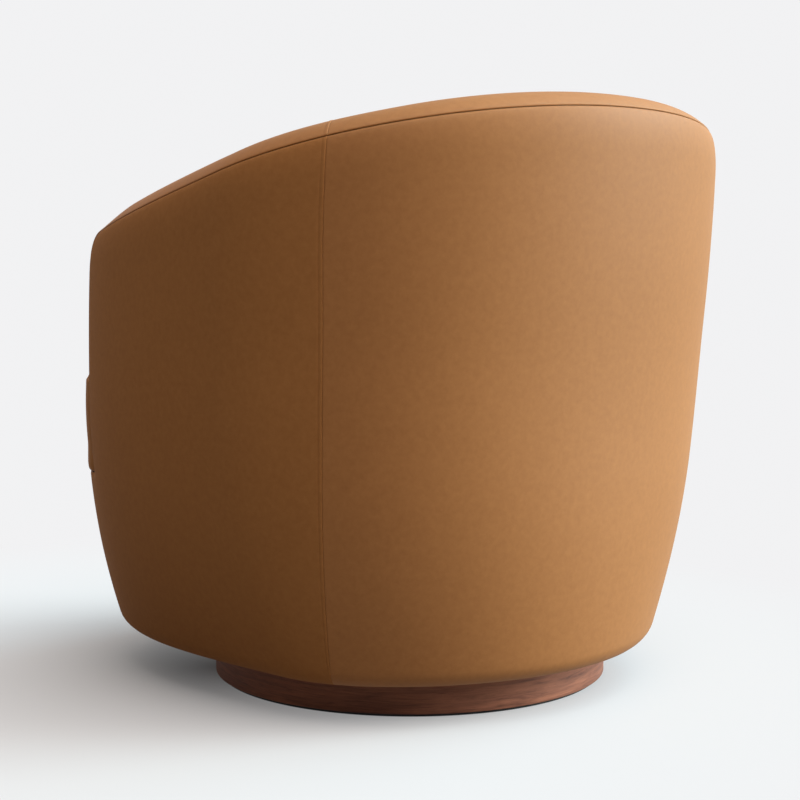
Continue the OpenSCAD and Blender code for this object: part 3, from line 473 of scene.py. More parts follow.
    def columns(self, first, last, count, start=EDGE_STEPS, end=EDGE_STEPS):
        """Angles from first to last with their distances from both ends, graded along the plan."""
        samples = np.linspace(first, last, 400)
        reach = reaches(np.array([self.plan(a)[0] for a in samples]))
        distances = graded(float(reach[-1]), count, start, end)
        return [(float(np.interp(d, reach, samples)), d, float(reach[-1]) - d) for d in distances]

    def corner_columns(self, steps):
        """Angles over the arm's rounded corner, which end at the arm's front."""
        return [self.corner_start + self.corner_radius * math.sin(QUARTER * i / steps) / self.per_radian
                for i in range(1, steps + 1)]

    def arm_columns(self, count, corner_steps, start=EDGE_STEPS):
        """Angles from an upright seam to the arm's front, with their distances from that seam."""
        flat = self.columns(self.seam_angle, self.corner_start, count, start, end=(0.0,))
        return [(a, d) for a, d, _ in flat] + [(a, FAR) for a in self.corner_columns(corner_steps)]

    def crown(self, a, t):
        """Height of the foam roll across the band, from its outer seam at 0 to its inner one at 1."""
        side = self.angle_off(a)
        swell = smooth((side - self.swell_from) / (self.swell_full - self.swell_from))
        swell *= 1 - smooth((side - self.swell_till) / (self.arm_angle - self.swell_till))
        height = self.band_crown + self.arm_swell * swell - self.leather
        return height * (1 - abs(2 * t - 1) ** self.crown_power)

    def across_top(self, station, t, height):
        """A point across the band at a station: its angle, height and turn forward."""
        a, z, turn = station
        low, high = self.at(a, self.outer(a, z), z), self.at(a, self.inner(a, z), z)
        way = self.plan(a)[2] * math.sin(turn) + Vector((0, 0, math.cos(turn)))
        return mix(low, high, t) + way * height

    def band_width(self, a, z):
        """Distance between the band's two seams."""
        return self.outer(a, z) - self.inner(a, z)

    def stations(self, columns, side=1):
        """Stations of the band at columns, on one side of the chair."""
        return [(side * a, self.top(a), self.turned(a)) for a in columns]

    def front_stations(self, side, foot, steps):
        """Stations down the front of an arm to a foot."""
        heights = evenly(self.top(self.arm_angle), foot, steps)[1:]
        return [(side * self.arm_angle, z, QUARTER) for z in heights]

    def seat_middle(self, z=0.0):
        """The seat's middle, under the crown of its cushion."""
        return Vector((0, -self.seat_centre, z))


# Meshes


def laid_grid(mesh, strips):
    """A grid whose columns are laid along strips of (point, how near a seam)."""
    near = mesh.verts.layers.float.get("seam_near") or mesh.verts.layers.float.new("seam_near")
    across, up = len(strips) - 1, len(strips[0]) - 1
    made = bmesh.ops.create_grid(mesh, x_segments=across, y_segments=up, size=0.5)["verts"]
    for vert in made:
        column, row = round((vert.co.x + 0.5) * across), round((vert.co.y + 0.5) * up)
        vert.co, vert[near] = strips[column][row]


def nearness(distance):
    """1 on a seam, falling to 0 some way off; it sets how strong the seams' painted shade is."""
    return 1 - smooth(distance / SEAM_SHADE)


def face_towards(mesh, point):
    """Turns an open mesh's faces so that most of them look towards a point."""
    looking = sum(face.normal.dot(point - face.calc_center_median()) * face.calc_area()
                  for face in mesh.faces)
    if looking < 0:
        bmesh.ops.reverse_faces(mesh, faces=mesh.faces)


def close_up(mesh):
    """Merges a wrapped grid's meeting rows, closes its ends and points its faces outwards."""
    bmesh.ops.remove_doubles(mesh, verts=mesh.verts, dist=WELD)
    edges = [edge for edge in mesh.edges if edge.is_boundary]
    filled = bmesh.ops.holes_fill(mesh, edges=edges, sides=0)["faces"]
    bmesh.ops.triangulate(mesh, faces=filled)
    bmesh.ops.recalc_face_normals(mesh, faces=mesh.faces)


def placed(name, data):
    """A new object in the scene."""
    made = bpy.data.objects.new(name, data)
    bpy.context.scene.collection.objects.link(made)
    return made


def piece(name, mesh, look, node, thickness=0.0, body="seat"):
    """Finishes a mesh as a piece of the chair that rides on a body and stands for a node of the frame."""
    mesh.normal_update()
    data = bpy.data.meshes.new(name)
    mesh.to_mesh(data)
    mesh.free()
    data.materials.append(material(look))
    data.shade_smooth()
    made = placed(name, data)
    if thickness:
        wall = made.modifiers.new("Thickness", "SOLIDIFY")
        wall.thickness = thickness
        wall.offset = -1
        wall.use_even_offset = False
    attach(made, body)
    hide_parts(node)
    return made


def panel(name, grids, look, node, shell, towards=None):
    """A sheet of leather over grids of strips that share edges. It faces a point, or outwards."""
    mesh = bmesh.new()
    for grid in grids:
        laid_grid(mesh, grid)
    bmesh.ops.remove_doubles(mesh, verts=mesh.verts, dist=WELD)
    mesh.normal_update()
    if towards:
        face_towards(mesh, Vector(towards))
    else:
        bmesh.ops.recalc_face_normals(mesh, faces=mesh.faces)
    return piece(name, mesh, look, node, shell.leather)


def closed(name, strips, look, node, ring=True):
    """A closed piece round strips of points; in a ring the last strip meets the first."""
    mesh = bmesh.new()
    strips = [[(point, 0.0) for point in strip] for strip in strips]
    laid_grid(mesh, strips + strips[:1] if ring else strips)
    close_up(mesh)
    return piece(name, mesh, look, node)


def layer(name, loops, look, node, ring=False):
    """A closed layer through loops of points, each round one section."""
    return closed(name, [loop + loop[:1] for loop in loops], look, node, ring)


# Shader maths


class Number:
    """A shader value. Arithmetic on it adds Math nodes."""

    def __init__(self, finish, socket):
        self.finish = finish
        self.socket = socket

    def maths(self, operation, *values):
        return self.finish.add("ShaderNodeMath", {"operation": operation}, dict(enumerate(values)))

    def __add__(self, other):
        return self.maths("ADD", self, other)

    __radd__ = __add__

    def __sub__(self, other):
        return self.maths("SUBTRACT", self, other)

    def __rsub__(self, other):
        return self.maths("SUBTRACT", other, self)

    def __mul__(self, other):
        return self.maths("MULTIPLY", self, other)

    __rmul__ = __mul__

    def __pow__(self, other):
        return self.maths("POWER", self, other)


class Finish:
    """A procedural material with the given name, or a world, built up node by node."""

    def __init__(self, owner):
        self.material = bpy.data.materials.new(owner) if isinstance(owner, str) else owner
        self.material.use_nodes = True
        self.tree = self.material.node_tree
        self.tree.nodes.clear()

    def add(self, kind, settings=None, inputs=None, output=0):
        """Adds a node: its settings first, then values or links on its sockets."""
        node = self.tree.nodes.new(kind)
        for key, value in (settings or {}).items():
            setattr(node, key, value)
        for key, value in (inputs or {}).items():
            if isinstance(value, Number):
                self.tree.links.new(value.socket, node.inputs[key])
            else:
                node.inputs[key].default_value = value
        return Number(self, node.outputs[output]) if node.outputs else None

    def place(self, scale=(1, 1, 1), shift=(0, 0, 0)):
        """Object coordinates, moved and scaled."""
        spot = self.add("ShaderNodeTexCoord", output="Object")
        return self.add("ShaderNodeMapping", {}, {"Vector": spot, "Scale": scale, "Location": shift})

    def grain(self, where, scale, detail=2.0, rough=0.5, warp=0.0):
        """Soft noise from 0 to 1."""
        return self.add("ShaderNodeTexNoise", {}, {"Vector": where, "Scale": scale, "Detail": detail,
                                                   "Roughness": rough, "Distortion": warp})

    def blend(self, share, first, second):
        """A colour between two others."""
        ends = {0: share, 6: first if isinstance(first, Number) else (*first, 1),
                7: second if isinstance(second, Number) else (*second, 1)}
        return self.add("ShaderNodeMix", {"data_type": "RGBA"}, ends, output=2)

    def bump(self, height, strength, distance):
        """A normal from a height."""
        return self.add("ShaderNodeBump", {}, {"Height": height, "Strength": strength, "Distance": distance})

    def seen_rays(self):
        """1 for rays from the camera and for those that metal or glass sends on."""
        camera, glossy, through = (self.add("ShaderNodeLightPath", output=kind)
                                   for kind in ("Is Camera Ray", "Is Glossy Ray", "Is Transmission Ray"))
        return camera.maths("MAXIMUM", camera, glossy.maths("MAXIMUM", glossy, through))

    def surface(self, **sockets):
        """Ends the material in one Principled shader."""
        inputs = {key.replace("_", " "): value for key, value in sockets.items()}
        shader = self.add("ShaderNodeBsdfPrincipled", {}, inputs)
        self.add("ShaderNodeOutputMaterial", {}, {"Surface": shader})
        return self.material


def darker(tint, share):
    """A colour with only a share of its light."""
    return [c * share for c in tint]


def leather_finish(name, shift, shine, rough):
    """Satin tan leather: pebbled grain, mottled dye, and painted shade darkening it in its seams."""
    looks = bpy.context.scene.chair_finishes
    finish = Finish(name)
    where = finish.place(shift=shift)
    cloud = finish.grain(where, 7, 3)
    mottle = finish.grain(where, 130, 4, 0.65)
    fine = finish.grain(where, 900, 2, 0.6)
    pebble = finish.add("ShaderNodeTexVoronoi", {"feature": "SMOOTH_F1"}, {"Vector": where, "Scale": 900})
    near = finish.add("ShaderNodeAttribute", {"attribute_name": "seam_near"}, output=2)
    tone = cloud * 0.5 + mottle * 1.7 + fine * 0.3 - 0.75
    dye = finish.blend(tone, looks.leather_deep, looks.leather)
    # Painted shade: the leather is darkened close to its seams, as if shaded in their grooves
    seam_shaded = finish.blend(near**12 * 0.12, dye, darker(looks.leather_deep, 0.35))
    height = pebble * 0.6 + fine * 0.5 + mottle * 0.3
    return finish.surface(Base_Color=seam_shaded, Roughness=rough + mottle * 0.08 + fine * 0.05,
                          Normal=finish.bump(height, 0.10, 0.0005), Specular_IOR_Level=shine)


def walnut_finish():
    """Oiled walnut with its grain along the ring."""
    looks = bpy.context.scene.chair_finishes
    finish = Finish("oiled_walnut")
    along = finish.place(scale=(8, 8, 110))
    streaks = finish.grain(along, 1.6, 6, 0.62, 0.6)
    pores = finish.grain(finish.place(scale=(30, 30, 420)), 2.2, 2)
    cloud = finish.grain(finish.place(), 7, 2)
    tone = streaks * 2.8 + cloud * 0.5 - 1.15
    shade = finish.blend(tone.maths("MINIMUM", tone, 1.0), looks.walnut_deep, looks.walnut)
    dark = finish.blend((pores - 0.56).maths("MAXIMUM", pores - 0.56, 0.0) * 2.4, shade,
                        darker(looks.walnut_deep, 0.4))
    return finish.surface(Base_Color=dark, Roughness=0.50 + streaks * 0.14,
                          Normal=finish.bump(streaks + pores, 0.25, 0.0006), Specular_IOR_Level=0.2)


def plywood_finish():
    """Raw birch with plies at its edges."""
    looks = bpy.context.scene.chair_finishes
    finish = Finish("birch_plywood")
    grain = finish.grain(finish.place(scale=(30, 4, 4)), 5, 4, 0.6)
    plies = finish.grain(finish.place(scale=(1, 1, 420)), 1.0, 0)
    shade = finish.blend(grain * 0.8 + plies * 0.4 - 0.1, looks.birch_deep, looks.birch)
    return finish.surface(Base_Color=shade, Roughness=0.62 + grain * 0.1,
                          Normal=finish.bump(grain, 0.2, 0.0004))


def soft_finish(name, tint, scale, strength, contrast=0.35, rough=0.9):
    """Foam, felt, wadding or plain cloth: a matt, finely broken surface."""
    finish = Finish(name)
    where = finish.place()
    coarse = finish.grain(where, scale / 6, 3)
    fine = finish.grain(where, scale, 3, 0.7)
    shade = finish.blend(fine * contrast + coarse * contrast, darker(tint, 0.7), tint)
    return finish.surface(Base_Color=shade, Roughness=rough,
                          Normal=finish.bump(fine + coarse, strength, 0.001))


def woven_finish(name, tint, pitch):
    """A plain weave."""
    finish = Finish(name)
    where = finish.place()
    bands = [finish.add("ShaderNodeTexWave", {"bands_direction": way, "wave_profile": "SIN"},
                        {"Vector": where, "Scale": 1 / pitch, "Distortion": 0.4}, output=1) for way in "XYZ"]
    weave = bands[0] * 0.4 + bands[1] * 0.4 + bands[2] * 0.4
    shade = finish.blend(weave, darker(tint, 0.45), tint)
    return finish.surface(Base_Color=shade, Roughness=0.88, Normal=finish.bump(weave, 0.5, 0.0006))


def metal_finish(name, tint, rough, scale=60):
    """Plated metal with a slightly uneven sheen."""
    finish = Finish(name)
    cloud = finish.grain(finish.place(), scale, 3)
    fine = finish.grain(finish.place(scale=(1, 1, 6)), 900, 2)
    shade = finish.blend(cloud, darker(tint, 0.86), tint)
    return finish.surface(Base_Color=shade, Metallic=1.0, Roughness=rough + cloud * 0.12 + fine * 0.06,
                          Normal=finish.bump(fine, 0.08, 0.0002))


def nylon_finish():
    """Milky moulded nylon."""
    looks = bpy.context.scene.chair_finishes
    finish = Finish("nylon")
    cloud = finish.grain(finish.place(), 140, 3)
    shade = finish.blend(cloud, darker(looks.nylon, 0.88), looks.nylon)
    return finish.surface(Base_Color=shade, Roughness=0.42 + cloud * 0.1,
                          Normal=finish.bump(cloud, 0.1, 0.0003))


@lru_cache(maxsize=None)
def material(name):
    """The finish of that name, made once."""
    looks = bpy.context.scene.chair_finishes
    makers = {
        "back_leather": lambda: leather_finish("back_leather", (0, 0, 0), 0.22, 0.54),
        "side_leather": lambda: leather_finish("side_leather", (3.1, 1.7, 0.9), 0.14, 0.72),
        "band_leather": lambda: leather_finish("band_leather", (5.3, 4.1, 2.2), 0.22, 0.55),
        "cushion_leather": lambda: leather_finish("cushion_leather", (1.4, 7.2, 6.1), 0.18, 0.70),
        "walnut": walnut_finish,
        "plywood": plywood_finish,
        "fibreboard": lambda: soft_finish("fibreboard", looks.board, 240, 0.3, rough=0.8),
        "foam": lambda: soft_finish("cut_foam", looks.foam, 900, 0.5),
        "wadding": lambda: soft_finish("wadding_fleece", looks.wadding, 260, 0.7),
        "felt": lambda: soft_finish("dense_felt", looks.felt, 1400, 0.6, 0.6),
        "black_cloth": lambda: woven_finish("black_lining", looks.cloth, 0.0022),
        "webbing": lambda: woven_finish("jute_webbing", looks.jute, 0.006),
        "zinc_steel": lambda: metal_finish("zinc_plated_steel", looks.zinc, 0.28),
        "ball_steel": lambda: metal_finish("bearing_steel", looks.zinc, 0.06, 20),
        "cage_brass": lambda: metal_finish("stamped_brass", looks.brass, 0.25),
        "nylon": nylon_finish,
    }
    return makers[name]()


# Panels of leather


def wall_points(shell, a, depth, heights):
    """Points up the outside at an angle, round the rim and then at the given heights."""
    points = [shell.at(a, *shell.rim(a, turn, depth)) for turn in evenly(0, QUARTER, 7)[:-1]]
    return points + [shell.at(a, shell.outer(a, z) - depth, z) for z in heights]


def rim_strip(shell, a, fall, near):
    """The turned-under end of a column of outer leather."""
    spun = shell.drifted(a, RIM_Z)
    out, z = shell.rim(spun, 0)
    strip = [(shell.at(spun, out - shell.lip * (1 - i / 3), z), near) for i in range(3)]
    for share in evenly(0, 1, 8)[:-1]:
        out, z = shell.rim(spun, QUARTER * share)
        spun = shell.drifted(a, z)
        strip.append((shell.at(spun, out - fall * share, z), near))
    return strip


def wall_strip(shell, a, fall, near, rows, top_seam=True):
    """A column of outer leather through rows of (height, distance from the top), drawn in by its seams."""
    strip = []
    for z, from_top in rows:
        spun = shell.drifted(a, z)
        dip = fall + tuck(from_top, CREASE, CREASE_DEPTH) if top_seam else fall
        strip.append((shell.at(spun, shell.outer(spun, z) - dip, z),
                      max(near, nearness(from_top)) if top_seam else near))
    return strip


def rows_between(low, high, count, end=EDGE_STEPS):
    """Heights with their distance from the top, fine near the top if it is a seam."""
    total = high - low
    return [(low + d, total - d) for d in graded(total, count, start=(0.0,), end=end)]


def felled(distance, share):
    """Depth of the felled seam: its own line, a raised strip beside it and that strip's second line."""
    ridge = RIDGE * smooth(distance / RIDGE_RISE) * (1 - smooth((distance - RIDGE_TILL) / RIDGE_FALL))
    line = share * LINE_DEPTH * bell(distance, SECOND_LINE, LINE_WIDTH)
    return tuck(distance, SEAM, SEAM_DEPTH) - ridge + line


def beside_seam(distance, depth):
    """How deep an outer panel has rolled in beside a plain seam, and how strong its painted shade is there.
    """
    return tuck(distance, SEAM, depth), OUTER_SHADE * nearness(distance)


class OuterLeather(bpy.types.Operator):
    """Makes the outer back panel, both side panels and the front panel"""

    bl_idname = "chair.outer_leather"
    bl_label = "Outer leather"

    def back(self, shell):
        """The panel between the two upright seams."""
        strips = []
        for a, left, right in shell.columns(shell.seam_angle, -shell.seam_angle, 120):
            rows = rows_between(RIM_Z + shell.rim_radius, shell.top(a), 96)
            seam = beside_seam(min(left, right), SEAM_DEPTH)
            strips.append(rim_strip(shell, a, *seam) + wall_strip(shell, a, *seam, rows))
        panel("back_panel_leather", [strips], "back_leather", "outer_leather_back", shell, (0, 9, 0.4))

    def below_deck(self, shell, a, seam, rolled=0.0):
        """A column from the rim up to the deck, rolled in by a share where it ends under the cushion."""
        rows = rows_between(RIM_Z + shell.rim_radius, DECK_TOP, 30, end=(0.0,))
        strip = rim_strip(shell, a, *seam) + wall_strip(shell, a, *seam, rows, top_seam=False)
        way_in = shell.plan(a)[1] * -rolled
        return [(point + way_in * tuck(DECK_TOP - point.z, UNDER_ROLL, UNDER_ROLL_DEPTH), near)
                for point, near in strip]

    def deck_edge(self, shell, a, strip):
        """The leather that turns in over the deck's edge, on from the top of a column."""
        outs = [shell.outer(a, DECK_TOP) - inset for inset in (0.004, 0.010, 0.022)]
        return [strip[-1]] + [(shell.at(a, out, DECK_TOP), 0.0) for out in outs]

    def side(self, shell, word):
        """A side panel: up to the top seam beside the arm, and up to the deck in front of it."""
        low, high = [], []
        for a, from_seam in shell.arm_columns(84, 9, FELLED_STEPS):
            fall, near = felled(from_seam, 0.8), OUTER_SHADE * nearness(from_seam)
            low.append(self.below_deck(shell, a, (fall, near)))
            to_front = shell.to_front(a)
            high.append(wall_strip(shell, a, fall + tuck(to_front, CREASE, CREASE_DEPTH),
                                   max(near, nearness(to_front)), rows_between(DECK_TOP, shell.top(a), 52)))
            high[-1][0] = low[-1][-1]
        edge = [self.deck_edge(shell, shell.arm_angle, low[-1])]
        for a, past, to_seam in shell.columns(shell.arm_angle, shell.front_seam, 16, start=(0.0,))[1:]:
            seam = beside_seam(to_seam, FRONT_SEAM_DEPTH)
            low.append(self.below_deck(shell, a, seam, smooth(past / ROLL_IN)))
            edge.append(self.deck_edge(shell, a, low[-1]))
        side = SIDES[word]
        grids = [[[(Vector((side * p.x, p.y, p.z)), near) for p, near in strip] for strip in grid]
                 for grid in (low, high, edge)]
        panel(f"{word}_panel_leather", grids, "side_leather", f"outer_leather_{word}", shell,
              (side * 9, -2, 0.3))

    def front(self, shell):
        """The panel under the cushion's front."""
        strips, edge = [], []
        for a, left, right in shell.columns(shell.front_seam, FULL_TURN - shell.front_seam, 36):
            strips.append(self.below_deck(shell, a, beside_seam(min(left, right), FRONT_SEAM_DEPTH), 1.0))
            edge.append(self.deck_edge(shell, a, strips[-1]))
        panel("front_panel_leather", [strips, edge], "back_leather", "apron_leather", shell, (0, -9, 0.2))

    def execute(self, context):
        shell = Shell()
        self.back(shell)
        for word in SIDES:
            self.side(shell, word)
        self.front(shell)
        return {"FINISHED"}


def band_strip(shell, station, seam_tuck):
    """A row of leather across the top band, rolled in at both its seams and turned down at its edges."""
    a, z, _ = station
    width = shell.band_width(a, z)
    stand = shell.gap + shell.leather

    def edge_point(inset, share, t):
        return shell.across_top(station, t, stand * share), nearness(stand * share)

    first = [edge_point(inset, share, inset / width) for inset, share in BAND_TURN]
    last = [edge_point(inset, share, 1 - inset / width) for inset, share in reversed(BAND_TURN)]
    strip = []
    for distance in graded(width, 22):
        edge = min(distance, width - distance)
        lift = stand + shell.crown(a, distance / width) - seam_tuck - tuck(edge, CREASE, CREASE_DEPTH)
        strip.append((shell.across_top(station, distance / width, lift), nearness(edge + stand)))
    return first + strip + last


class TopBand(bpy.types.Operator):
    """Makes the rounded band along the top edge, which turns down over the arm fronts"""

    bl_idname = "chair.top_band"
    bl_label = "Top band"

    def execute(self, context):
        shell = Shell()
        strips = []
        for a, left, right in shell.columns(shell.seam_angle, -shell.seam_angle, 110):
            seam = tuck(min(left, right), SEAM, BAND_SEAM_DEPTH)
            strips.append(band_strip(shell, (a, shell.top(a), 0.0), seam))
        panel("back_band_leather", [strips], "band_leather", "top_band_back", shell, (0, 0, 9))
        columns = shell.arm_columns(80, 12, FELLED_STEPS)
        for word, side in SIDES.items():
            front = shell.front_stations(side, DECK_TOP + shell.gap, 26)
            stations = shell.stations([a for a, _ in columns], side) + front
            starts = [start for _, start in columns] + [FAR] * len(front)
            strips = [band_strip(shell, station, felled(start, 0.5))
                      for station, start in zip(stations, starts)]
            panel(f"{word}_band_leather", [strips], "band_leather", f"top_band_{word}", shell,
                  (side * 0.2, -1, 9))
        return {"FINISHED"}


def inner_strip(shell, a, seam_tuck, near):
    """A column of inner leather from the deck up to the top seam."""
    strip = []
    for z, from_top in rows_between(RING_TOP, shell.top(a), 56):
        dip = max(seam_tuck, tuck(from_top, CREASE, CREASE_DEPTH))
        strip.append((shell.at(a, shell.inner(a, z) + dip, z), max(near, nearness(from_top))))
    return strip


class InnerLeather(bpy.types.Operator):
    """Makes the inner back panel and the inner arm panels"""

    bl_idname = "chair.inner_leather"
    bl_label = "Inner leather"

    def execute(self, context):
        shell = Shell()
        seat = (0, -0.1, 0.6)
        strips = []
        for a, left, right in shell.columns(-shell.seam_angle, shell.seam_angle, 84):
            edge = min(left, right)
            strips.append(inner_strip(shell, a, tuck(edge, INNER_SEAM, INNER_SEAM_DEPTH), nearness(edge)))
        panel("inner_back_leather", [strips], "back_leather", "inner_leather_back", shell, seat)
        for word, side in SIDES.items():
            strips = []
            for a, start in shell.arm_columns(60, 9):
                to_front = shell.to_front(a)
                dip = max(tuck(start, INNER_SEAM, INNER_SEAM_DEPTH), tuck(to_front, CREASE, CREASE_DEPTH))
                strips.append(inner_strip(shell, side * a, dip, max(nearness(start), nearness(to_front))))
            panel(f"inner_{word}_leather", [strips], "side_leather", f"inner_leather_{word}", shell, seat)
        return {"FINISHED"}


class SeatCushion(bpy.types.Operator):
    """Makes the loose T-shaped cushion: simulated foam, top panel, side strip and under-cloth"""

    bl_idname = "chair.seat_cushion"
    bl_label = "Seat cushion"

    def outline(self, shell, z):
        """The cushion's outline at a height as evenly spaced points, its corners rounded."""
        end = shell.arm_angle
        clear = shell.leather + shell.gap + shell.seat_ear_gap
        side = [shell.at(a, shell.inner(a, z) - shell.gap, z) for a in evenly(0, end, 89)]
        for t in evenly(0, 0.93, 11):
            out = mix(shell.inner(end, z) - shell.gap, shell.outer(end, z), t)
            side.append(shell.at(end, out, z, shell.crown(end, t) + clear))
        first = end + (clear + shell.band_crown / 3) / shell.per_radian
        side += [shell.at(a, shell.outer(a, z), z) for a in evenly(first, math.pi, 59)]
        ring = side + mirrored(reversed(side[1:-1]))
        loop = np.array([p[:] for p in ring + ring[:1]])
        reach = reaches(loop)
        even = np.linspace(0, reach[-1], OUTLINE_POINTS, endpoint=False)
        return smoothed(np.stack([np.interp(even, reach, loop[:, k]) for k in range(3)], axis=1), 10)

    def drawn_in(self, loop, distance):
        """A level outline drawn in by a distance along its normals."""
        moved = []
        for k, point in enumerate(loop):
            way = loop[(k + 1) % len(loop)] - loop[k - 1]
            moved.append(point + Vector((way.y, -way.x, 0)).normalized() * distance)
        return moved

    def rise(self, shell, f):
        """Height of the top above its seam, from the seam at 1 to the centre at 0."""
        crown = (shell.seat_crown - shell.seat_puff) * (1 - f**shell.seat_crown_power)
        return crown + shell.seat_puff * (1 - f**shell.seat_puff_power)

    def rounds(self, shell):
        """For each point of the top seam, that point and a rounder outline's, which the crown follows."""
        edge = self.outline(shell, shell.seat_edge_height)
        return list(zip(edge, smoothed(np.array([p[:] for p in edge]), 260)))

    def top_point(self, shell, ends, f, lift=0.0):
        """A point of the top panel on the way from the outline to the crown's centre."""
        spot = mix(shell.seat_middle(), mix(*ends, 1 - smooth((f - ROUND_TILL) / (1 - ROUND_TILL))), f)
        spot.z = shell.seat_edge_height + lift + self.rise(shell, f)
        return spot

    def body(self, shell):
        """Strips of the whole closed foam, from the middle of its underside to its crown."""
        inset = shell.leather + shell.gap
        low, high = DECK_TOP + shell.gap + inset, shell.seat_edge_height - inset
        loops = [self.drawn_in(self.outline(shell, z), inset) for z in evenly(low, high, 12)]
        rings = evenly(0.0, 1.0, 14)[:-1]
        shares = [0.995, 0.985, 0.97, 0.95] + [0.95 * f for f in reversed(rings)]
        strips = []
        for k, (_, inner) in enumerate(self.rounds(shell)):
            strip = [mix(shell.seat_middle(low), loops[0][k], f) for f in rings] + [loop[k] for loop in loops]
            strips.append(strip + [self.top_point(shell, (loops[-1][k], inner), f, -inset) for f in shares])
        return strips

    def simulate(self, shell, made):
        """How far air pressure moves points of the cushion: a search tree of rest points and their moves."""
        scene = bpy.context.scene
        copy = made.copy()
        copy.data = made.data.copy()
        scene.collection.objects.link(copy)
        remesh = copy.modifiers.new("Remesh", "REMESH")
        remesh.mode = "VOXEL"
        remesh.voxel_size = shell.seat_voxel
        graph = bpy.context.evaluated_depsgraph_get()
        copy.data = bpy.data.meshes.new_from_object(copy.evaluated_get(graph))
        copy.modifiers.clear()
        rest = [v.co.copy() for v in copy.data.vertices]
        cloth = copy.modifiers.new("Cloth", "CLOTH")
        cloth.settings.use_pressure = True
        cloth.settings.uniform_pressure_force = 4
        cloth.settings.tension_stiffness = 12
        cloth.settings.compression_stiffness = 12
        cloth.settings.shear_stiffness = 6
        cloth.settings.bending_stiffness = 0.6
        cloth.settings.effector_weights.gravity = 0
        scene.frame_start, scene.frame_end = 1, FRAMES
        for step in range(1, FRAMES + 1):
            scene.frame_set(step)
        graph = bpy.context.evaluated_depsgraph_get()
        blown = copy.evaluated_get(graph).to_mesh()
        moves = [vert.co - spot for vert, spot in zip(blown.vertices, rest)]
        tree = KDTree(len(rest))
        for index, spot in enumerate(rest):
            tree.insert(spot, index)
        tree.balance()
        bpy.data.objects.remove(copy)
        scene.frame_set(1)
        return tree, moves

    def swell(self, shell, point):
        """A point moved as the simulation moved what lies round it, within the cushion's room."""
        if not self.simulated:
            return point
        tree, moves = self.simulated
        total, weight = Vector(), 0.0
        for _, index, distance in tree.find_n(point, NEIGHBOURS):
            share = 1 / (distance + shell.seat_voxel * 2)
            total += moves[index] * share
            weight += share
        move = total / weight
        move.xy *= SIDEWAYS
        if move.length > shell.seat_give:
            move *= shell.seat_give / move.length
        lifted = clamp01((point.z - DECK_TOP - LYING) / (FREE - LYING))
        return point + move * lifted

    def top(self, shell):
        """The top panel, from its seam to the crown's centre."""
        shares = [1, 0.999, 0.9975, 0.995, 0.992, 0.988, 0.983, 0.975, 0.965, 0.95] + evenly(0.93, 0, 30)
        strips = []
        for ends in self.rounds(shell):
            reach = (ends[0] - shell.seat_middle()).length
            strip = []
            for f in shares:
                spot = self.swell(shell, self.top_point(shell, ends, f, shell.leather))
                spot.z -= tuck((1 - f) * reach, CUSHION_SEAM, CUSHION_SEAM_DEPTH)
                strip.append((spot, nearness((1 - f) * 0.3)))
            strips.append(strip)
        return panel("cushion_top_leather", [strips + strips[:1]], "cushion_leather", "cushion_top", shell,
                     (0, 0, 9))

    def boxing(self, shell):
        """The strip round the side, rolled in at both seams, and fuller where no arm holds it."""
        low, high = DECK_TOP + shell.gap + shell.seat_bottom, shell.seat_edge_height
        levels = [low + d for d in graded(high - low, 14)]
        arm_front = shell.at(shell.arm_angle, shell.inner(shell.arm_angle, high), high).y
        loops = []
        for z in levels:
            head, foot = (tuck(d, CUSHION_SEAM, CUSHION_SEAM_DEPTH) for d in (high - z, z - low))
            puff = shell.seat_swell * 0.4 * math.sin(math.pi * (z - low) / (high - low)) + shell.leather
            outline = self.outline(shell, z)
            held = self.drawn_in(outline, max(head, foot))
            free = self.drawn_in(outline, max(head, 0.2 * foot) - puff)
            loops.append([mix(p, q, smooth((arm_front - EAR_START - p.y) / EAR_WAY))
                          for p, q in zip(held, free)])
        near = [nearness(min(z - low, high - z)) for z in levels]
        strips = [[(self.swell(shell, point), shade) for point, shade in zip(points, near)]
                  for points in zip(*loops)]
        return panel("cushion_side_leather", [strips + strips[:1]], "cushion_leather", "cushion_boxing",
                     shell)

    def execute(self, context):
        shell = Shell()
        foam = closed("cushion_foam", self.body(shell), "foam", "cushion_core")
        self.simulated = self.simulate(shell, foam)
        for vert in foam.data.vertices:
            vert.co = self.swell(shell, vert.co.copy())
        top, strip = self.top(shell), self.boxing(shell)
        level = DECK_TOP + shell.gap
        flat_sheet("cushion_under_cloth", self.outline(shell, level), level, level + shell.seat_bottom,
                   "black_cloth", "cushion_bottom", shell)
        return {"FINISHED"}


def flat_sheet(name, outline, low, high, look, node, shell):
    """A level layer with the given outline, closed round the seat's middle."""
    strips = []
    for point in outline:
        spots = [mix(shell.seat_middle(), point, f).xy for f in (0, 0.4, 0.75, 1)]
        under = [Vector((*spot, low)) for spot in spots]
        strips.append(under + [Vector((*spot, high)) for spot in reversed(spots)])
    return closed(name, strips, look, node)


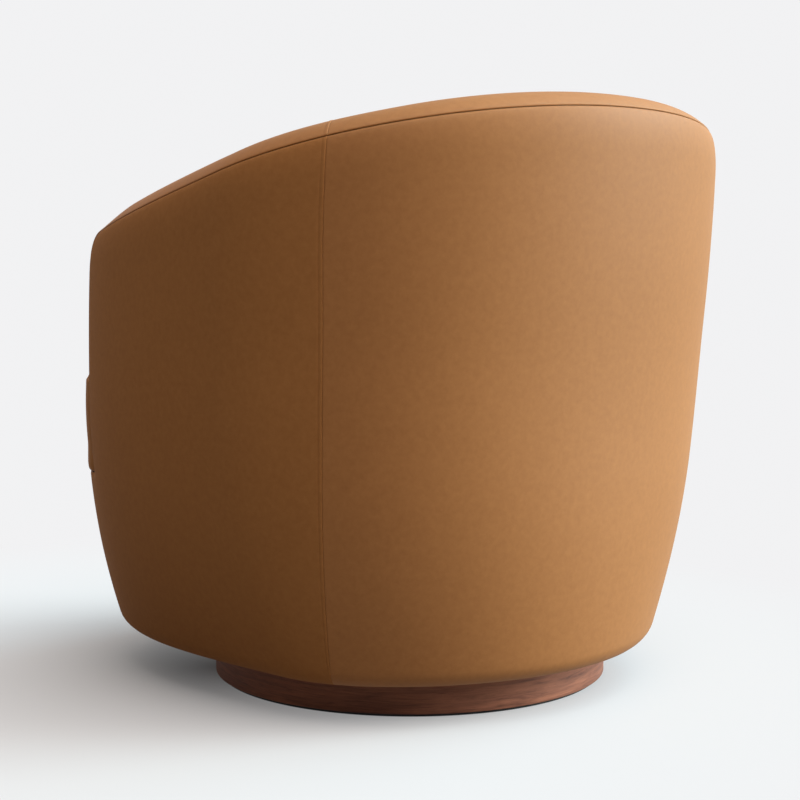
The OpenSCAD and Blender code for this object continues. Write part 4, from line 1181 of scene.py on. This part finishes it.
class Padding(bpy.types.Operator):
    """Makes the soft layers inside: wadding, foam, liner and the roll under the top band"""

    bl_idname = "chair.padding"
    bl_label = "Padding"

    def wall_layer(self, name, angles, outside, inside, look, node):
        """A layer that stands between two faces, each a function from an angle to its points."""
        return layer(name, [outside(a) + inside(a)[::-1] for a in angles], look, node)

    def execute(self, context):
        shell = Shell()
        arm = evenly(-shell.arm_angle, shell.arm_angle, 72)
        apron = evenly(shell.roll_start, FULL_TURN - shell.roll_start, 30)
        skin = shell.leather + shell.gap
        wadding_in = skin + shell.wadding
        liner_out = 2 * shell.gap + shell.web

        def rail(a):
            return shell.top(a) - shell.roll_depth - 3 * shell.gap

        def below_cushion(a):
            return DECK_TOP - 0.012

        def outside(depth, top):
            return lambda a: wall_points(shell, a, depth, evenly(RIM_Z + shell.rim_radius, top(a), 12))

        def inside(face):
            return lambda a: [shell.at(a, face(a, z), z) for z in evenly(RING_TOP, rail(a), 10)]

        made = [
            self.wall_layer("outer_wadding_fleece", arm, outside(skin, rail), outside(wadding_in, rail),
                            "wadding", "outer_wadding"),
            self.wall_layer("front_wadding_fleece", apron, outside(skin + 0.002, below_cushion),
                            outside(wadding_in, below_cushion), "wadding", "apron_wadding"),
            self.wall_layer("inner_wall_foam", arm,
                            inside(lambda a, z: shell.frame_in(a, z) - shell.foam_start),
                            inside(lambda a, z: shell.inner(a, z) + skin), "foam", "inner_foam"),
            self.roll(shell),
        ]
        self.wall_layer("inner_lining", arm, inside(lambda a, z: shell.frame_in(a, z) - liner_out),
                        inside(lambda a, z: shell.frame_in(a, z) - liner_out - shell.liner), "black_cloth",
                        "inner_liner")
        return {"FINISHED"}

    def roll(self, shell):
        """The foam roll that shapes the top band."""
        columns = evenly(0, shell.corner_start, 50) + shell.corner_columns(6)
        half = shell.stations(columns) + shell.front_stations(1, DECK_TOP + 0.001, 10)
        loops = []
        for a, z, turn in [(-a, z, turn) for a, z, turn in reversed(half[1:])] + half:
            margin = (shell.leather + 2 * shell.gap + 0.0006) / shell.band_width(a, z)
            shares = evenly(margin, 1 - margin, 10)
            back = a - math.copysign(shell.roll_depth * math.sin(turn) / shell.per_radian, a)
            low = z - shell.roll_depth * math.cos(turn)
            under = [shell.at(back, mix(shell.outer(back, low), shell.inner(back, low), t), low)
                     for t in shares]
            loops.append([shell.across_top((a, z, turn), t, shell.crown(a, t) - 0.0004) for t in shares]
                         + under[::-1])
        return layer("top_foam_roll", loops, "foam", "top_roll")


class DeckAndUnderside(bpy.types.Operator):
    """Makes the deck's soft layers, the felt ring and the black cloth under the chair"""

    bl_idname = "chair.deck_and_underside"
    bl_label = "Deck and underside"

    def deck_outline(self, shell):
        """The deck's outline: inside the inner leather, and out to the front panel past the arms."""
        end = shell.arm_angle
        side = [shell.at(a, shell.inner(a, RING_TOP) - 2 * shell.gap, 0) for a in evenly(0, end, 60)]
        step = end + shell.leather / shell.per_radian
        side.append(shell.at(step, shell.inner(end, RING_TOP), 0))
        inset = shell.board_depth + shell.apron
        side += [shell.at(a, shell.outer(a, RING_TOP) - inset, 0) for a in evenly(step, math.pi, 20)]
        return side + mirrored(reversed(side[1:-1]))

    def execute(self, context):
        shell = Shell()
        outline = self.deck_outline(shell)
        for name, node, look in (("deck_felt_sheet", "deck_felt", "felt"),
                                 ("deck_foam_sheet", "deck_foam", "foam"),
                                 ("deck_cover", "deck_cloth", "black_cloth")):
            low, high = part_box(node)
            made = flat_sheet(name, outline, max(low.z, DECK_FOOT), high.z, look, node, shell)
        self.dust_cover(shell)
        turned_ring("felt_foot_ring", 0.022, 0.0008, "felt", "felt_ring")
        return {"FINISHED"}

    def dust_cover(self, shell):
        """The black cloth between the base board and the turned-under leather."""
        thick = shell.dust_cloth
        loops = []
        for a in evenly(0, FULL_TURN, 144)[:-1]:
            edge, _ = shell.rim(a, 0, shell.leather)
            lip_end = edge - shell.lip
            path = [(lip_end - shell.dust_width, BASE_BOTTOM), (lip_end - 0.012, BASE_BOTTOM),
                    (lip_end - 0.003, RIM_Z), (edge - 0.014, RIM_Z), (edge - 0.006, RIM_Z)]
            face = [shell.at(a, out, z - thick) for out, z in path]
            loops.append(face + [p + Vector((0, 0, thick)) for p in reversed(face)])
        layer("dust_cloth", loops, "black_cloth", "dust_cover", ring=True)

def turned_ring(name, width, ease, look, node):
    """A ring turned from a square section with eased edges, as large as the node that it stands for."""
    low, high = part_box(node)
    corners = [(high.x - width, low.z), (high.x, low.z), (high.x, high.z), (high.x - width, high.z)]
    mesh = bmesh.new()
    verts = [mesh.verts.new((x, 0, z)) for x, z in corners]
    edges = [mesh.edges.new((verts[i], verts[(i + 1) % 4])) for i in range(4)]
    bmesh.ops.bevel(mesh, geom=verts + edges, offset=ease, segments=4, profile=0.5, affect="VERTICES",
                    material=-1)
    bmesh.ops.subdivide_edges(mesh, edges=[e for e in mesh.edges if e.calc_length() > 0.003], cuts=3)
    bmesh.ops.spin(mesh, geom=mesh.verts[:] + mesh.edges[:], cent=(0, 0, 0), axis=(0, 0, 1), dvec=(0, 0, 0),
                   angle=FULL_TURN, steps=192, use_merge=True)
    bmesh.ops.remove_doubles(mesh, verts=mesh.verts, dist=WELD)
    bmesh.ops.recalc_face_normals(mesh, faces=mesh.faces)
    return piece(name, mesh, look, node, body="base")


class WalnutPlinth(bpy.types.Operator):
    """Makes the turned walnut ring"""

    bl_idname = "chair.walnut_plinth"
    bl_label = "Walnut plinth"

    def execute(self, context):
        turned_ring("walnut_plinth_ring", 0.020, 0.0015, "walnut", "plinth_ring")
        return {"FINISHED"}


class FrameAndSwivel(bpy.types.Operator):
    """Gives the wooden frame, the springs, the straps and the swivel their finishes"""

    bl_idname = "chair.frame_and_swivel"
    bl_label = "Frame and swivel"

    def execute(self, context):
        slots = {part["node"]: part["material_slot"] for part in frame["record"]["subparts"]}
        for name, node in frame["nodes"].items():
            if node.hide_render:
                continue
            for slot in node.material_slots:
                slot.link = "OBJECT"
                slot.material = material(slots[name])
        return {"FINISHED"}


class Studio(bpy.types.Operator):
    """Sets up the floor, the backdrop, the lamps and the camera"""

    bl_idname = "chair.studio"
    bl_label = "Studio"

    def backdrop(self, sizes):
        """A world that lights from above, and that the camera sees as a pale wall."""
        world = bpy.data.worlds.new("studio_world")
        bpy.context.scene.world = world
        world.use_nodes = True
        sky = Finish(world)
        spot = sky.add("ShaderNodeTexCoord", output="Generated")
        up = sky.add("ShaderNodeSeparateXYZ", {}, {"Vector": spot}, output=2)
        over = up.maths("MAXIMUM", up, 0.0)
        glow = sky.add("ShaderNodeBackground", {}, {"Color": (*sizes.sky_tint, 1),
                                                    "Strength": over**4 * sizes.overhead + sizes.ambient})
        wall = sky.add("ShaderNodeBackground", {}, {"Color": (*sizes.backdrop, 1)})
        seen = sky.add("ShaderNodeMixShader", {}, {0: sky.seen_rays(), 1: glow, 2: wall})
        sky.add("ShaderNodeOutputWorld", {}, {"Surface": seen})

    def floor(self, sizes):
        """A wide floor that fades into the backdrop far from the chair."""
        mesh = bmesh.new()
        bmesh.ops.create_circle(mesh, cap_ends=True, radius=FLOOR_RADIUS, segments=96)
        data = bpy.data.meshes.new("floor")
        mesh.to_mesh(data)
        mesh.free()
        finish = Finish("studio_floor")
        spot = finish.add("ShaderNodeTexCoord", output="Object")
        left = sizes.camera_heading + math.pi
        middle = (math.cos(left) * sizes.shadow_middle, math.sin(left) * sizes.shadow_middle, 0)
        reach = finish.add("ShaderNodeVectorMath", {"operation": "DISTANCE"}, {0: spot, 1: middle}, output=1)
        fade = finish.add("ShaderNodeMapRange", {}, {"Value": reach, "From Min": sizes.fade_from,
                                                     "From Max": sizes.fade_till})
        seen = finish.seen_rays()
        shade = finish.blend(seen, sizes.floor_bounce, sizes.floor)
        lit = finish.add("ShaderNodeBsdfDiffuse", {}, {"Color": shade})
        wall = finish.add("ShaderNodeEmission", {}, {"Color": (*sizes.backdrop, 1)})
        seen = finish.add("ShaderNodeMixShader", {}, {0: fade * seen, 1: lit, 2: wall})
        finish.add("ShaderNodeOutputMaterial", {}, {"Surface": seen})
        data.materials.append(finish.material)
        placed("floor", data)

    def lamp(self, sizes, kind):
        """A wide distant light: the low key from the right, the high one or the rim light."""
        data = bpy.data.lights.new(kind + "_light", "SUN")
        data.energy, data.angle = getattr(sizes, kind + "_strength"), getattr(sizes, kind + "_spread")
        data.color = getattr(sizes, kind + "_tint")
        lamp = placed(kind + "_light", data)
        height, turn = getattr(sizes, kind + "_height"), getattr(sizes, kind + "_turn")
        lamp.rotation_euler = (QUARTER - height, 0, sizes.camera_heading + turn)

    def camera(self, sizes):
        """The camera at the photograph's place."""
        data = bpy.data.cameras.new("camera")
        data.lens, data.sensor_width = sizes.lens, SENSOR
        camera = placed("camera", data)
        camera.location = sizes.camera_place
        camera.rotation_euler = (QUARTER - sizes.camera_pitch, 0, sizes.camera_heading)
        bpy.context.scene.camera = camera

    def execute(self, context):
        scene = context.scene
        sizes = scene.chair_studio
        scene.view_settings.view_transform = "Standard"
        self.backdrop(sizes)
        self.floor(sizes)
        for kind in ("key", "top", "rim"):
            self.lamp(sizes, kind)
        self.camera(sizes)
        return {"FINISHED"}


OPERATORS = (Studio, OuterLeather, TopBand, InnerLeather, SeatCushion, Padding, DeckAndUnderside,
             WalnutPlinth, FrameAndSwivel)


class ChairPanel(bpy.types.Panel):
    """Lists the chair's pieces and sizes in the sidebar"""

    bl_idname = "VIEW3D_PT_chair"
    bl_label = "Swivel accent chair"
    bl_space_type = "VIEW_3D"
    bl_region_type = "UI"
    bl_category = "Chair"

    def draw(self, context):
        for operator in OPERATORS:
            self.layout.operator(operator.bl_idname)
        for name, group in GROUPS.items():
            box = self.layout.box()
            for key in group.__annotations__:
                box.prop(getattr(context.scene, name), key)


CLASSES = (*GROUPS.values(), *OPERATORS, ChairPanel)


def register():
    for each in CLASSES:
        bpy.utils.register_class(each)
    for name, group in GROUPS.items():
        setattr(bpy.types.Scene, name, PointerProperty(type=group))


def unregister():
    for name in GROUPS:
        delattr(bpy.types.Scene, name)
    for each in reversed(CLASSES):
        bpy.utils.unregister_class(each)


def main():
    """Builds the whole scene."""
    register()
    bpy.ops.chair.studio()
    bpy.ops.chair.outer_leather()
    bpy.ops.chair.top_band()
    bpy.ops.chair.inner_leather()
    bpy.ops.chair.seat_cushion()
    bpy.ops.chair.padding()
    bpy.ops.chair.deck_and_underside()
    bpy.ops.chair.walnut_plinth()
    bpy.ops.chair.frame_and_swivel()


if __name__ == "__main__":
    main()
